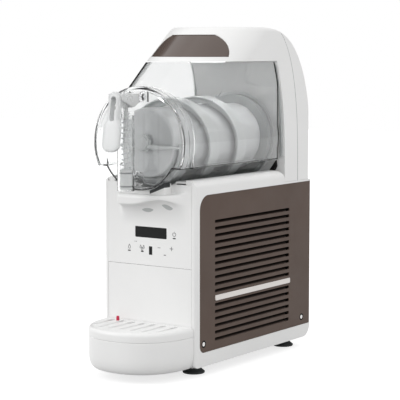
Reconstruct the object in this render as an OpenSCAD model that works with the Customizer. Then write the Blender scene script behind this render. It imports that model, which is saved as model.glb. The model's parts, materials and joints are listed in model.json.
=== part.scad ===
// Counter-top slush machine: a louvred cabinet, a clear bowl with a turning auger, a tap and a drip tray.
// Millimetres, +Z up, -Y towards the user. The origin is under the middle of the machine, on the table.

/* [Cabinet] */
// Width over the side frames
body_w = 200; // [196:1:220]
// Depth of the cabinet, from its front plane to its rear edge
cab_d = 390; // [384:1:420]
// Height of the cabinet's underside above the table
foot_h = 18; // [14:1:26]
// Height of the cabinet, from its underside to the top of its rails
cab_h = 330; // [322:1:345]
// Thickness of the side frames
frame_t = 8; // [7:0.5:9]
// Width of the rails along the top of the side frames
rail_w = 22; // [16:1:24]
// Radius of the rails' outer top edge
rail_r = 15; // [6:1:17]
// Drop from the rails to the shelf that carries the column
shelf_drop = 23; // [18:1:28]
// Radius of the shoulder where a rail ends at the column
shoulder_r = 20; // [8:1:22]
// Radius of the cabinet's lower rear corners
rear_corner_r = 24; // [8:1:24]
// Radius of the cabinet's upright front edges
front_edge_r = 6; // [2:1:7]
// Thickness of the steel sheet
sheet_t = 2; // [1.5:0.5:3]
// Height of the base pan's upturned edges
pan_edge_h = 20; // [12:1:24]

/* [Feet] */
// Diameter of a foot where it stands
foot_d = 40; // [32:1:48]
// Distance of the feet's middles inside the cabinet's side faces
foot_side = 35; // [32:1:45]
// Distance of the front feet behind the cabinet's front plane
foot_front = 45; // [36:1:60]
// Distance of the rear feet ahead of the cabinet's rear edge
foot_rear = 42; // [38:1:60]
// Diameter of the steel stud in each foot
stud_d = 8; // [6:1:10]

/* [Side panels] */
// Width of white frame left ahead of a side panel
panel_front = 14; // [12:1:20]
// Height of white frame left below a side panel
panel_low = 25; // [24:1:32]
// Height of white frame left above a side panel
panel_high = 27; // [26:1:32]
// Radius of a panel's upper front corner
panel_top_r = 26; // [10:1:30]
// Radius of a panel's lower front corner
panel_low_r = 13; // [6:1:20]
// Thickness of a side panel
panel_t = 3; // [2:0.5:3.5]
// How far a panel lies below the frame's face
panel_sink = 0.8; // [0.2:0.1:1]
// Width of the rebate that a panel lies on
rebate_w = 8; // [5:0.5:10]
// Number of rows of louvres and trim
louvre_rows = 18; // [14:1:19]
// Row that holds the trim bar, counted from the top
trim_row = 11; // [6:1:13]
// Distance between rows
louvre_pitch = 12.4; // [11:0.1:13]
// Height of a louvre's slot
louvre_h = 6; // [4:0.5:7]
// Distance of the first row below the panel's top edge
louvre_drop = 49; // [42:1:60]
// Distance from the panel's front edge to the louvres
louvre_start = 48; // [40:1:60]
// Length of a louvre
louvre_l = 252; // [220:1:270]
// Thickness of the sloping blade inside a louvre
blade_t = 1.2; // [0.8:0.1:2]
// Depth of the sloping blade behind the panel
blade_d = 5; // [3:0.5:7]
// How much shorter a blade is than its slot, at the rear
blade_short = 8; // [4:1:20]
// Height of a trim bar
trim_h = 9.6; // [7:0.1:10.4]
// Thickness of a trim bar
trim_t = 1.4; // [1:0.1:2]
// Diameter of a panel screw's head
screw_head_d = 7.6; // [6:0.1:9]
// Distance of the screws from the panel's front and rear ends
screw_inset_y = 13; // [12:1:18]
// Distance of the rear screws ahead of the cabinet's rear edge
screw_inset_rear = 29; // [20:1:36]
// Height of the screws above the panel's lower edge
screw_inset_z = 15; // [13:1:20]

/* [Front] */
// Thickness of the moulded front panels
front_t = 3; // [2:0.5:4]
// Distance from the rails' top down to the seam between the two front panels
seam_drop = 155; // [150:1:162]
// Width of the nose below the bowl
nose_w = 114; // [90:1:130]
// How far the nose stands ahead of the front panel
nose_reach = 29; // [20:1:29]
// Height of the nose's underside below the rails' top
nose_drop = 48; // [44:1:54]
// Height of the nose
nose_h = 22; // [18:1:24]
// Radius of the nose's front corners, seen from above
nose_r = 18; // [8:1:24]
// Width of the display
display_w = 69; // [50:1:80]
// Height of the display
display_h = 20; // [14:1:24]
// Sideways place of the display's middle
display_x = 4; // [-10:1:10]
// Height of the display's middle above the seam
display_rise = 59.5; // [56:0.5:66]
// Width of the level window
level_w = 7.4; // [5:0.1:10]
// Height of the level window
level_h = 15.2; // [10:0.1:20]
// Sideways place of the level window's middle
level_x = 3.4; // [-10:0.1:10]
// Height of the level window's middle above the seam
level_rise = 27; // [22:0.5:32]
// Thickness of the display and level windows
lens_t = 1.2; // [0.8:0.1:1.6]

/* [Bowl] */
// Height of the bowl's axis above the rails
bowl_rise = 63; // [60:1:70]
// Outer radius of the bowl's trough
trough_r = 82; // [78:0.5:84]
// Distance of the bowl's collar inside the cabinet's side faces
collar_inset = 1; // [0.5:0.5:2]
// Length of the collar, from front to back
collar_l = 30; // [26:1:34]
// How much smaller the bowl's body is than its collar, in radius
collar_step = 2; // [1.5:0.5:3]
// Depth of the bowl's side ledges below its axis
ledge_drop = 42; // [38:1:44]
// Distance of the hopper's walls inside the cabinet's side faces
hopper_inset = 5; // [4.5:0.5:7]
// Height of the hopper's rim above the bowl's axis
hopper_h = 140; // [134:1:150]
// Centre of the hopper's round front, behind the front plane, at its rim
hopper_centre = 151; // [146:1:160]
// Backward slope of the hopper's front, per unit of height
hopper_rake = 1.17; // [1.1:0.01:1.25]
// Thickness of the bowl's wall
bowl_wall = 2.5; // [2:0.1:3]
// Space between the bowl's open rear end and the foot of the column
bowl_rear_gap = 17; // [16.5:0.5:19]
// Gap between the bowl's trough and the saddle below it
saddle_gap = 0.3; // [0.2:0.1:0.6]

/* [Hood] */
// Depth of the column at its foot
column_d = 94.5; // [90:0.5:98]
// How far the column's front leans over the bowl at the canopy
window_lean = 30; // [24:1:34]
// Space between the hopper's rim and the canopy
canopy_gap = 2; // [1.5:0.5:4]
// Height of the canopy
canopy_h = 62; // [60:1:70]
// Centre of the canopy's round front, behind the front plane, at its underside
canopy_centre = 163; // [160:1:170]
// Backward slope of the canopy's front, per unit of height
canopy_rake = 1.3; // [1.2:0.01:1.35]
// Where the flat roof ends, behind the front plane
roof_end = 200; // [196:1:206]
// Roundness of the curve from the roof to the rear
rear_power = 2.8; // [2.3:0.1:2.9]
// Distance of the rear cover's seam behind the end of the flat roof
seam_reach = 142; // [136:1:150]
// Rise of the seam's curve over the roof
seam_over = 12; // [9:1:16]
// Radius of the roof's edges
roof_r = 8; // [6:1:16]
// Radius of the rear cover's upright edges
cover_r = 12; // [4:1:16]
// Thickness of the hood's walls
hood_wall = 3; // [2.5:0.5:4]
// Thickness of the canopy's front wall
canopy_wall = 7; // [6.5:0.5:9]
// Height of the dark band round the canopy
band_h = 40; // [30:1:40]
// Height of the band above the canopy's underside
band_rise = 8; // [6:1:12]
// Depth of the recess that holds the band
band_sink = 3.2; // [2.6:0.1:4]
// Thickness of the band
band_t = 1.6; // [1:0.1:2]
// Distance of the band's ends ahead of the canopy's round centre
band_ends = 24; // [16:1:36]
// How far the band's ends draw forward at its lower edge
band_sweep = 14; // [8:1:20]
// Depth of the ends' rearmost place below the band's upper edge
band_tip = 7; // [4:1:12]
// Width of the filling opening
chute_w = 92; // [70:1:100]
// Front edge of the filling opening, behind the front plane
chute_front = 172; // [170:1:180]
// Length of the filling opening, from front to back
chute_l = 58; // [40:1:62]
// Thickness of the lid over the filling opening
lid_t = 3; // [2:0.5:4]
// How far the lid reaches past the filling opening
lid_lap = 5; // [3:0.5:6]
// Depth of the lid's plug inside the filling opening
lid_plug = 9; // [5:1:14]

/* [Auger drive] */
// Outer radius of the cold drum
drum_r = 62; // [58:0.5:63]
// Wall of the cold drum
drum_wall = 1.6; // [1:0.1:2.5]
// Gap between the cold drum and the auger
auger_gap = 1.5; // [1:0.1:2.5]
// Gap between the auger and the bowl's trough
sweep_gap = 2; // [1:0.1:3]
// Width of the auger's blade along its axis
blade_w = 28; // [16:1:30]
// Distance between the auger's turns
auger_pitch = 88; // [72:1:90]
// Number of turns of the auger
auger_turns = 2.65; // [2:0.05:2.7]
// Radius of the drive shaft
shaft_r = 8; // [6:0.5:9]
// Running clearance of the shafts and pins
run_gap = 0.05; // [0.02:0.01:0.08]
// Module of the drive gears
gear_module = 2; // [1.8:0.1:2.1]
// Teeth of the large gear on the auger's shaft
gear_teeth = 42; // [38:2:42]
// Teeth of the motor's pinion
pinion_teeth = 14; // [14:2:16]
// Width of the gears
gear_w = 12; // [8:1:14]
// Radius of the motor's body
motor_r = 30; // [24:1:32]
// Length of the motor's body
motor_l = 38; // [30:1:40]

/* [Tap] */
// Distance of the tap's axis ahead of the front plane
tap_reach = 66; // [64:0.5:70]
// Outer radius of the tap's tube
tube_r = 15; // [14:0.5:15.5]
// Bore radius of the tap's tube
tube_bore_r = 11.5; // [11:0.1:12]
// Height of the tap's mouth above the trough's lowest line
mouth_rise = 2; // [1:0.5:6]
// Length of the tap's tube
tube_l = 131; // [128:1:134]
// Radius of the passage from the trough to the tap
duct_r = 10; // [8:0.5:10]
// Height of the passage above the tap's mouth
duct_rise = 19; // [18:0.5:20]
// Length of the tap's piston
piston_l = 34; // [32:1:36]
// Gap between the piston and the tube
piston_gap = 0.2; // [0.1:0.05:0.4]
// Radius of the piston's rod
rod_r = 4; // [3:0.5:5]
// Length of the rod from the piston to the middle of its eye
rod_l = 114; // [112:1:118]
// Distance from the lever's pivot to its lifting pin
lift_arm = 26; // [24:0.5:27]
// Angle of the lifting pin below the pivot when the tap is shut
lift_dip = 25; // [20:1:28]
// Radius of the lever's pivot pin
pivot_r = 3; // [2.5:0.5:4]
// Width of the lever's paddle near its foot
paddle_w = 37; // [30:1:38]
// Width of the lever's paddle at its top
paddle_top_w = 24; // [20:1:28]
// Length of the lever's paddle
paddle_l = 104; // [90:1:110]
// Thickness of the lever's paddle
paddle_t = 7; // [5:0.5:9]
// Distance of the paddle's top ahead of the tap's axis
paddle_ahead = 21; // [20:0.5:26]
// Height of the paddle's top above the pivot
paddle_rise = 10; // [7:1:12]
// Tilt of the paddle, its foot towards the user
paddle_tilt = 8.5; // [3:0.5:9]
// Wire diameter of the tap's spring
wire_d = 1.6; // [1:0.1:2]
// Middle radius of the tap's spring
spring_r = 7.6; // [7:0.1:8]
// Number of curls in the tap's spring
spring_curls = 9; // [5:1:10]

/* [Drip tray] */
// Width of the drip tray
tray_w = 192; // [180:1:194]
// How far the drip tray stands ahead of the front plane
tray_reach = 113; // [104:1:124]
// Height of the tray's underside above the table
tray_low = 16; // [12:1:18]
// Height of the tray's rim above the table
tray_rim = 74.4; // [66:0.1:82]
// Height of the cover above the tray's rim
cover_h = 17; // [14:1:20]
// Thickness of the tray's walls
tray_wall = 2.5; // [2:0.1:3]
// Number of slots in the cover
slot_count = 7; // [5:2:7]
// Distance between the slots
slot_pitch = 23; // [21:0.5:24]
// Width of a slot
slot_w = 9; // [6:0.5:10]
// Length of a slot
slot_l = 72; // [50:1:76]
// Distance of the slots ahead of the front plane
slot_gap = 13; // [11:1:20]
// Depth of a slot's trough
slot_d = 2.2; // [1.5:0.1:3]
// Length of the drain at a slot's rear end
drain_l = 14; // [9:1:20]
// Radius of the float's pin
float_pin_r = 2.8; // [2:0.1:3.4]
// Height of the float's pin above the cover
float_show = 8; // [5:0.5:10]
// How far the float rises when the tray fills
float_rise = 12; // [6:1:16]
// Distance of the float ahead of the front plane
float_y = 17; // [15:0.5:22]

/* [Cooling] */
// Radius of the compressor
comp_r = 60; // [50:1:62]
// Height of the compressor above its mounts
comp_h = 140; // [110:1:150]
// Distance of the compressor's middle behind the front plane
comp_y = 110; // [96:1:116]
// Height of the compressor's rubber mounts
mount_h = 10; // [8:1:14]
// Width of the condenser
cond_w = 156; // [140:1:160]
// Height of the condenser
cond_h = 160; // [150:1:170]
// Thickness of the condenser
cond_t = 38; // [30:1:40]
// Distance of the condenser behind the front plane
cond_y = 300; // [296:1:310]
// Radius of the fan
fan_r = 58; // [50:1:60]
// Number of fan blades
fan_count = 5; // [4:1:7]

/* [Hidden] */
$fn = 48;
hull_fn = 32;
eps = 0.01;
slab_t = 0.2;
far = 400;
seat_gap = 0.3;
press_gap = 0.02;
half_w = body_w / 2;
front_y = (tray_reach - cab_d) / 2;
rail_z = foot_h + cab_h;
shelf_z = rail_z - shelf_drop;
panel_z0 = foot_h + panel_low;
panel_z1 = rail_z - panel_high;
panel_x1 = half_w - panel_sink;
panel_x0 = panel_x1 - panel_t;
frame_in = half_w - frame_t;
screw_r = 2;
screw_hole_r = 2.2;
screw_head_h = 1.6;
front_half_w = frame_in - seat_gap;
foot_x = half_w - foot_side;
pan_z = foot_h + sheet_t;
rear_inset = 11;
pan_rear = cab_d - rear_inset;
seam_z = rail_z - seam_drop;
nose_z = rail_z - nose_drop;
nose_top = nose_z + nose_h;
fascia_drop = 8;
fascia_top = rail_z - fascia_drop;
cradle_gap = 6;
cradle_r = trough_r + cradle_gap;
collar_r = half_w - collar_inset;
body_r = collar_r - collar_step;
hopper_half_w = half_w - hopper_inset;
bowl_z = rail_z + bowl_rise;
ledge_z = bowl_z - ledge_drop;
hopper_z = bowl_z + hopper_h;
bore_r = trough_r - bowl_wall;
column_y = cab_d - column_d;
bowl_rear = column_y - bowl_rear_gap;
canopy_z = hopper_z + canopy_gap;
roof_z = canopy_z + canopy_h;
column_foot = shelf_z + seat_gap;
band_z = canopy_z + band_rise;
chute_rim_h = 9;
chute_rim_edge = 4;
chute_wall = lid_lap + chute_rim_edge;
sleeve_t = 4;
sleeve_top = roof_z - chute_rim_h;
lamp_side = 36;
lamp_w = 14;
lamp_l = 80;
lamp_t = 2;
lamp_gap = 0.2;
bulkhead_set = 5;
bulkhead_y = column_y + bulkhead_set;
bulkhead_t = 3;
gearbox_y = bulkhead_y + bulkhead_t;
gearbox_wall = 4;
gearbox_l = 37;
gear_set = 11;
gear_y = gearbox_y + gear_set;
gear_r = gear_module * gear_teeth / 2;
pinion_r = gear_module * pinion_teeth / 2;
gear_depth = 1.25 * gear_module;
gear_height = 0.8 * gear_module;
gear_backlash = 0.5;
motor_z = bowl_z - gear_r - pinion_r;
motor_shaft_r = 4;
bearing_t = 6;
bearing_r = shaft_r + bearing_t;
bush_t = 2;
bush_r = shaft_r + bush_t;
drum_front = -8;
spider_y = -19;
spider_t = 8;
auger_r0 = drum_r + auger_gap;
auger_r1 = bore_r - sweep_gap;
auger_start = spider_y + spider_t + seat_gap + blade_w / 2;
tap_y = -tap_reach;
mouth_z = bowl_z - trough_r + mouth_rise;
tube_top = mouth_z + tube_l;
duct_z = mouth_z + duct_rise;
piston_rise = 3;
piston_z = mouth_z + piston_rise;
piston_top = piston_z + piston_l;
piston_r = tube_bore_r - piston_gap;
eye_z = piston_top + rod_l;
pivot_y = tap_y + lift_arm * (1 + cos(lift_dip)) / 2;
pivot_z = eye_z + lift_arm * sin(lift_dip);
lift_pin_y = pivot_y - lift_arm * cos(lift_dip);
lift_pin_r = 3;
arm_x0 = 11;
arm_x1 = 16;
ear_gap = 0.5;
ear_t = 6;
ear_x0 = arm_x1 + ear_gap;
ear_x1 = ear_x0 + ear_t;
ear_r = 9;
cap_t = 6;
cap_plug = 6;
spring_z0 = piston_top + seat_gap;
spring_z1 = tube_top - cap_plug - seat_gap;
spring_bend = 1.6;
spring_lead = wire_d + spring_bend;
spring_helix_h = spring_z1 - spring_z0 - 2 * spring_lead;
spring_rings = 8 * spring_curls;
low_ring = 4;
top_ring = 7;
ring_grooves = [piston_z + low_ring, piston_top - top_ring];
groove_h = 2.6;
groove_d = 1.8;
cover_top = tray_rim + cover_h;
tray_power = 2.3;
tray_gap = 0.4;
tray_curve_h = 34;
tray_floor_t = 4;
tray_floor = tray_low + tray_floor_t;
tongue_x = 30;
tongue_half_w = 8;
tongue_l = 40;
tongue_rise = 2;
tongue_z = tray_floor + tongue_rise;
tongue_h = 9;
pocket_wall = 2.5;
float_x = -slot_pitch * (slot_count / 2 - 1);
float_body_r = 9;
float_body_h = 20;
comp_base_t = 3;
mount_inset = 9;
mount_r = 9;
mount_bolt_r = 4;
mount_x = foot_x - mount_inset;
mount_y = 48;
shroud_t = 10;
fan_y = cond_y - shroud_t;
fan_z = pan_z + cond_h / 2;
fan_motor_r = 22;
fan_shaft_r = 3;
fan_ring_l = 14;
fan_arm_t = 3;
board_post = 5;
post_r = 4;
post_inset = 8;
board_t = 1.6;
board_half_w = 58;
board_h = 76;
board_drop = 22;
board_z = shelf_z - board_h - board_drop;
panel_board_x0 = -56;
panel_board_x1 = 64;
panel_board_low = 6;
panel_board_high = 84;
panel_board_z0 = seam_z + panel_board_low;
panel_board_z1 = seam_z + panel_board_high;
gland_side = 40;
gland_x = gland_side - half_w;
gland_rise = 42;
gland_z = pan_z + gland_rise;
gland_r = 8;
gland_bore_r = 4.5;
white = [0.93, 0.93, 0.92];
brown = [0.36, 0.31, 0.27];
clear = [0.86, 0.89, 0.9, 0.35];
steel = [0.75, 0.76, 0.77];
dark = [0.2, 0.21, 0.21];
black = [0.12, 0.13, 0.13];
copper = [0.75, 0.48, 0.32];
red = [0.75, 0.16, 0.24];

// Moves a piece from the cabinet's own place, front plane at y = 0, to the part's origin
module place() {
  translate([0, front_y, 0]) children();
}

// Extrudes an outline drawn in (y, z) along X
module x_slab(x0, x1) {
  translate([x0, 0, 0]) rotate([90, 0, 90]) linear_extrude(x1 - x0) children();
}

// Extrudes an outline drawn in (x, z) along Y
module y_slab(y0, y1) {
  translate([0, y1, 0]) rotate([90, 0, 0]) linear_extrude(y1 - y0) children();
}

// Extrudes an outline drawn in (x, y) along Z
module z_slab(z0, z1) {
  translate([0, 0, z0]) linear_extrude(z1 - z0) children();
}

module x_cylinder(r, x0, x1, y, z) {
  translate([x0, y, z]) rotate([0, 90, 0]) cylinder(r = r, h = x1 - x0);
}

module y_cylinder(r, y0, y1, x, z) {
  translate([x, y0, z]) rotate([-90, 0, 0]) cylinder(r = r, h = y1 - y0);
}

// A box from its lowest to its highest corner
module block(low, high) {
  translate(low) cube(high - low);
}

// Rectangle with its own radius at each corner: low-low, high-low, high-high, low-high
module round_rect(low, high, radii) {
  corners = [low, [high.x, low.y], high, [low.x, high.y]];
  difference() {
    translate(low) square(high - low);
    for (i = [0:3])
      if (radii[i] > 0)
        translate(corners[i]) rotate(90 * i) difference() {
          translate([-1, -1]) square(radii[i] + 1);
          translate([radii[i], radii[i]]) circle(radii[i]);
        }
  }
}

// Copies a right-hand piece to the left
module left_of() {
  mirror([1, 0, 0]) children();
}

// Side frames, panels and trim

module frame_outline() {
  low_r = 8;
  top_r = 10;
  round_rect([0, foot_h], [column_y, rail_z], [low_r, 0, shoulder_r, top_r]);
  round_rect([0, foot_h], [cab_d, shelf_z], [low_r, rear_corner_r, 0, 0]);
}

module panel_outline(grow, rear) {
  low = [panel_front - grow, panel_z0 - grow];
  round_rect(low, [rear, panel_z1 + grow], [panel_low_r + grow, 0, 0, panel_top_r + grow]);
}

module at_screws() {
  for (y = [panel_front + screw_inset_y, cab_d - screw_inset_rear])
    translate([0, y, panel_z0 + screw_inset_z]) children();
}

module side_frame() {
  screw_pad = 20;
  intersection() {
    difference() {
      union() {
        difference() {
          x_slab(frame_in, half_w) frame_outline();
          x_slab(frame_in - 1, half_w) panel_outline(-rebate_w, cab_d + 1);
        }
        x_slab(half_w - rail_w, half_w)
          round_rect([front_t + seat_gap, panel_z1 + 1], [column_y, rail_z], [0, 0, shoulder_r, 0]);
        at_screws() block(
          [frame_in, -screw_pad / 2, -screw_inset_z],
          [panel_x0, screw_pad / 2, screw_pad / 2]);
      }
      x_slab(panel_x0, half_w + 1) panel_outline(seat_gap, cab_d + 1);
      at_screws() x_cylinder(screw_hole_r, frame_in - 1, half_w, 0, 0);
    }
    y_slab(-1, cab_d + 1) round_rect([0, 0], [half_w, rail_z], [0, 0, rail_r, 0]);
    z_slab(0, rail_z) round_rect([0, 0], [half_w, cab_d], [0, front_edge_r, 0, 0]);
  }
}

module right_side_frame() {
  color(white) side_frame();
}

module left_side_frame() {
  color(white) left_of() side_frame();
}

function louvre_z(row) = panel_z1 - louvre_drop - row * louvre_pitch;

module side_panel() {
  y0 = panel_front + louvre_start;
  corner = 2;
  difference() {
    x_slab(panel_x0, panel_x1) panel_outline(0, cab_d);
    for (row = [0:louvre_rows - 1])
      if (row != trim_row)
        x_slab(panel_x0 - 1, panel_x1 + 1) round_rect(
          [y0, louvre_z(row) - louvre_h / 2], [y0 + louvre_l, louvre_z(row) + louvre_h / 2],
          [corner, corner, corner, corner]);
    at_screws() x_cylinder(screw_hole_r, panel_x0 - 1, panel_x1 + 1, 0, 0);
    at_screws() x_cylinder(screw_head_d / 2 + panel_sink, panel_x1 - screw_head_h, panel_x1 + 1, 0, 0);
  }
  for (row = [0:louvre_rows - 1])
    if (row != trim_row)
      y_slab(y0 + corner, y0 + louvre_l - blade_short) louvre_blade(louvre_z(row) - louvre_h / 2);
}

// Section of one sloping blade, which rises inwards from the slot's lower edge
module louvre_blade(z) {
  x_mid = panel_x0 + panel_t / 2;
  polygon([
    [x_mid, z - blade_t], [x_mid, z],
    [panel_x0 - blade_d, z + louvre_h], [panel_x0 - blade_d, z + louvre_h - blade_t]
  ]);
}

module right_side_panel() {
  color(brown) side_panel();
}

module left_side_panel() {
  color(brown) left_of() side_panel();
}

module trim_bar() {
  y0 = panel_front + louvre_start;
  z = louvre_z(trim_row);
  corner = 2.5;
  end_over = 2;
  x_slab(panel_x1, panel_x1 + trim_t) round_rect(
    [y0, z - trim_h / 2], [y0 + louvre_l + end_over, z + trim_h / 2], [corner, corner, corner, corner]);
}

module trim_bars() {
  color(steel) {
    trim_bar();
    left_of() trim_bar();
  }
}

module panel_screw() {
  head_x = panel_x1 - screw_head_h;
  cross_w = 1;
  cross_l = 4.8;
  tail = 3;
  difference() {
    union() {
      x_cylinder(screw_head_d / 2, head_x, panel_x1, 0, 0);
      x_cylinder(screw_r, frame_in - tail, head_x + eps, 0, 0);
    }
    for (turn = [0, 90])
      rotate([turn, 0, 0])
        block(
          [panel_x1 - screw_head_h / 2, -cross_w / 2, -cross_l / 2],
          [panel_x1 + 1, cross_w / 2, cross_l / 2]);
  }
}

module panel_screws() {
  color(steel) at_screws() panel_screw();
  color(steel) left_of() at_screws() panel_screw();
}

// Base, feet and rear

module at_feet() {
  for (x = [-foot_x, foot_x], y = [foot_front, cab_d - foot_rear])
    translate([x, y, 0]) children();
}

module base_pan() {
  side_gap = 0.5;
  stud_gap = 0.2;
  edge_x = frame_in - side_gap;
  color(steel) difference() {
    union() {
      block([-edge_x, front_t, foot_h], [edge_x, pan_rear, pan_z]);
      for (x = [-edge_x, edge_x - sheet_t])
        block([x, front_t, foot_h], [x + sheet_t, pan_rear, pan_z + pan_edge_h]);
      for (y = [front_t, pan_rear - sheet_t])
        block([-edge_x, y, foot_h], [edge_x, y + sheet_t, pan_z + pan_edge_h]);
    }
    at_feet() cylinder(d = stud_d + 2 * stud_gap, h = 2 * pan_z);
  }
}

module foot() {
  sole_h = 3.5;
  waist_in = 7;
  waist_share = 0.55;
  edge = 1;
  waist_r = foot_d / 2 - waist_in;
  color(dark) difference() {
    rotate_extrude() polygon([
      [0, 0], [foot_d / 2 - edge, 0], [foot_d / 2, edge], [foot_d / 2, sole_h],
      [waist_r, foot_h * waist_share], [waist_r - edge, foot_h], [0, foot_h]
    ]);
    translate([0, 0, foot_h / 2]) cylinder(d = stud_d + 2 * run_gap, h = foot_h);
  }
}

module front_left_foot() {
  translate([-foot_x, foot_front, 0]) foot();
}

module front_right_foot() {
  translate([foot_x, foot_front, 0]) foot();
}

module rear_left_foot() {
  translate([-foot_x, cab_d - foot_rear, 0]) foot();
}

module rear_right_foot() {
  translate([foot_x, cab_d - foot_rear, 0]) foot();
}

module foot_studs() {
  stud_end = 8;
  color(steel) at_feet() translate([0, 0, foot_h / 2])
    cylinder(d = stud_d, h = pan_z + stud_end - foot_h / 2);
}

module rear_panel() {
  inner_half_w = frame_in - seat_gap;
  outer_half_w = panel_x0 - seat_gap;
  wide_z0 = panel_z0 + rebate_w + seat_gap;
  wide_z1 = panel_z1 - rebate_w - seat_gap;
  vent_rows = 9;
  vent_pitch = 14;
  vent_half_w = 60;
  vent_h = 6;
  vent_low = pan_z + 80;
  shelf_gap = 2;
  gland_gap = 0.1;
  color(steel) difference() {
    union() {
      block([-inner_half_w, pan_rear, pan_z], [inner_half_w, pan_rear + sheet_t, shelf_z - shelf_gap]);
      block([-outer_half_w, pan_rear, wide_z0], [outer_half_w, pan_rear + sheet_t, wide_z1]);
      at_board_posts() y_cylinder(post_r, pan_rear - board_post, pan_rear + eps, 0, 0);
    }
    for (row = [0:vent_rows - 1])
      block(
        [-vent_half_w, pan_rear - 1, vent_low + row * vent_pitch],
        [vent_half_w, pan_rear + 2 * sheet_t, vent_low + row * vent_pitch + vent_h]);
    y_cylinder(gland_r + gland_gap, pan_rear - 1, pan_rear + 2 * sheet_t, gland_x, gland_z);
  }
}

module at_board_posts() {
  for (x = [-1, 1] * (board_half_w - post_inset), z = [board_z + post_inset, board_z + board_h - post_inset])
    translate([x, 0, z]) children();
}

module control_board() {
  board_y = pan_rear - board_post - board_t;
  part_size = [18, 12, 36];
  part_pitch = 34;
  color("darkgreen") {
    block([-board_half_w, board_y, board_z], [board_half_w, board_y + board_t, board_z + board_h]);
    for (i = [-1:1])
      translate([
        i * part_pitch - part_size.x / 2, board_y - part_size.y, board_z + (board_h - part_size.z) / 2
      ])
        cube(part_size + [0, eps, 0]);
  }
}

module cable_gland() {
  flange_r = 12;
  flange_t = 4;
  nut_r = 11;
  nut_t = 5;
  thread_end = 6;
  outside = pan_rear + sheet_t;
  color(black) difference() {
    union() {
      y_cylinder(gland_r, pan_rear - thread_end, outside + thread_end, gland_x, gland_z);
      y_cylinder(flange_r, outside, outside + flange_t, gland_x, gland_z);
      y_cylinder(nut_r, pan_rear - nut_t, pan_rear, gland_x, gland_z);
    }
    y_cylinder(gland_bore_r, pan_rear - thread_end - 1, outside + thread_end + 1, gland_x, gland_z);
  }
}

// Front panels and the bowl's seat

module lens_outline(grow) {
  low = [display_x - display_w / 2 - grow, seam_z + display_rise - display_h / 2 - grow];
  display_r = 2;
  level_r = 1;
  corner = display_r + grow;
  round_rect(low, low + [display_w + 2 * grow, display_h + 2 * grow], [corner, corner, corner, corner]);
  level_low = [level_x - level_w / 2 - grow, seam_z + level_rise - level_h / 2 - grow];
  level_corner = level_r + grow;
  round_rect(
    level_low, level_low + [level_w + 2 * grow, level_h + 2 * grow],
    [level_corner, level_corner, level_corner, level_corner]);
}

module at_display_posts() {
  for (x = [panel_board_x0 + post_inset, panel_board_x1 - post_inset])
    for (z = [panel_board_z0 + post_inset, panel_board_z1 - post_inset])
      translate([x, 0, z]) children();
}

module nose_slab(z0, z1, inset) {
  r = nose_r - inset;
  x1 = nose_w / 2 - inset;
  z_slab(z0, z1) round_rect([-x1, -nose_reach + inset], [x1, front_t / 2], [r, r, 0, 0]);
}

module control_fascia() {
  edge = 6;
  low_edge = 2;
  corner = 6;
  lens_gap = 0.1;
  color(white) {
    difference() {
      y_slab(0, front_t) difference() {
        round_rect([-front_half_w, seam_z + seat_gap], [front_half_w, fascia_top], [0, 0, corner, corner]);
        translate([0, bowl_z]) circle(cradle_r, $fn = 96);
      }
      y_slab(-1, lens_t) lens_outline(lens_gap);
    }
    hull() {
      $fn = hull_fn;
      nose_slab(nose_z, nose_z + slab_t, low_edge);
      nose_slab(nose_z + 1.5 * low_edge, nose_top - edge, 0);
      nose_slab(nose_top - edge / 3, nose_top - edge / 3 + slab_t, edge / 3);
      nose_slab(nose_top - slab_t, nose_top, edge);
    }
    at_display_posts() y_cylinder(post_r, front_t - eps, front_t + board_post, 0, 0);
  }
}

module splash_panel() {
  low_gap = 2;
  color(white) block([-front_half_w, 0, foot_h + low_gap], [front_half_w, front_t, seam_z - seat_gap]);
}

module display_lenses() {
  color(black) y_slab(0, lens_t) lens_outline(0);
}

module display_board() {
  board_y = front_t + board_post;
  color("darkgreen")
    block([panel_board_x0, board_y, panel_board_z0], [panel_board_x1, board_y + board_t, panel_board_z1]);
}

module bowl_saddle() {
  inset = 8;
  saddle_half_w = nose_w / 2 - inset;
  saddle_h = 20;
  color(dark) y_slab(-nose_reach + inset, 0) difference() {
    translate([-saddle_half_w, nose_top]) square([2 * saddle_half_w, saddle_h]);
    translate([0, bowl_z]) circle(trough_r + saddle_gap, $fn = 96);
  }
}

module cradle_deck() {
  deck_t = 3;
  deck_drop = 3;
  deck_end = 6;
  deck_z = rail_z - deck_drop;
  deck_half_w = half_w - rail_w - seat_gap;
  flat_x = sqrt(pow(cradle_r + deck_t, 2) - pow(bowl_z - deck_z + deck_t, 2)) - deck_t;
  color(white) y_slab(front_t + seat_gap, column_y - deck_end) {
    intersection() {
      translate([0, bowl_z]) difference() {
        circle(cradle_r + deck_t, $fn = 96);
        circle(cradle_r, $fn = 96);
      }
      translate([-half_w, 0]) square([body_w, deck_z]);
    }
    for (x = [-deck_half_w, flat_x])
      translate([x, deck_z - deck_t]) square([deck_half_w - flat_x, deck_t]);
  }
}

// Hood: column and canopy in one shell, with a separate rear cover

function window_y(z) = column_y - window_lean * pow((z - shelf_z) / (canopy_z - shelf_z), 3);

function super_arc(reach, rise, turn) = [
  roof_end + reach * pow(cos(turn), 2 / rear_power),
  shelf_z + rise * pow(sin(turn), 2 / rear_power)
];

// Side outline of the hood and rear cover together, drawn in (y, z)
function hood_outline(inset) = let (
    steps = 12,
    below = 10,
    low = inset > 0 ? shelf_z - below : column_foot,
    high = canopy_z + inset
  ) concat(
    [for (i = [0:steps]) let (z = low + (high - low) * i / steps) [window_y(z) + inset, z]],
    [[-far / 4, high], [-far / 4, roof_z - inset], [roof_end, roof_z - inset]],
    [for (turn = [84:-6:6]) super_arc(cab_d - roof_end - inset, roof_z - shelf_z - inset, turn)],
    [[cab_d - inset, low + (inset > 0 ? below : 0)], [cab_d - inset, low]]
  );

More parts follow.
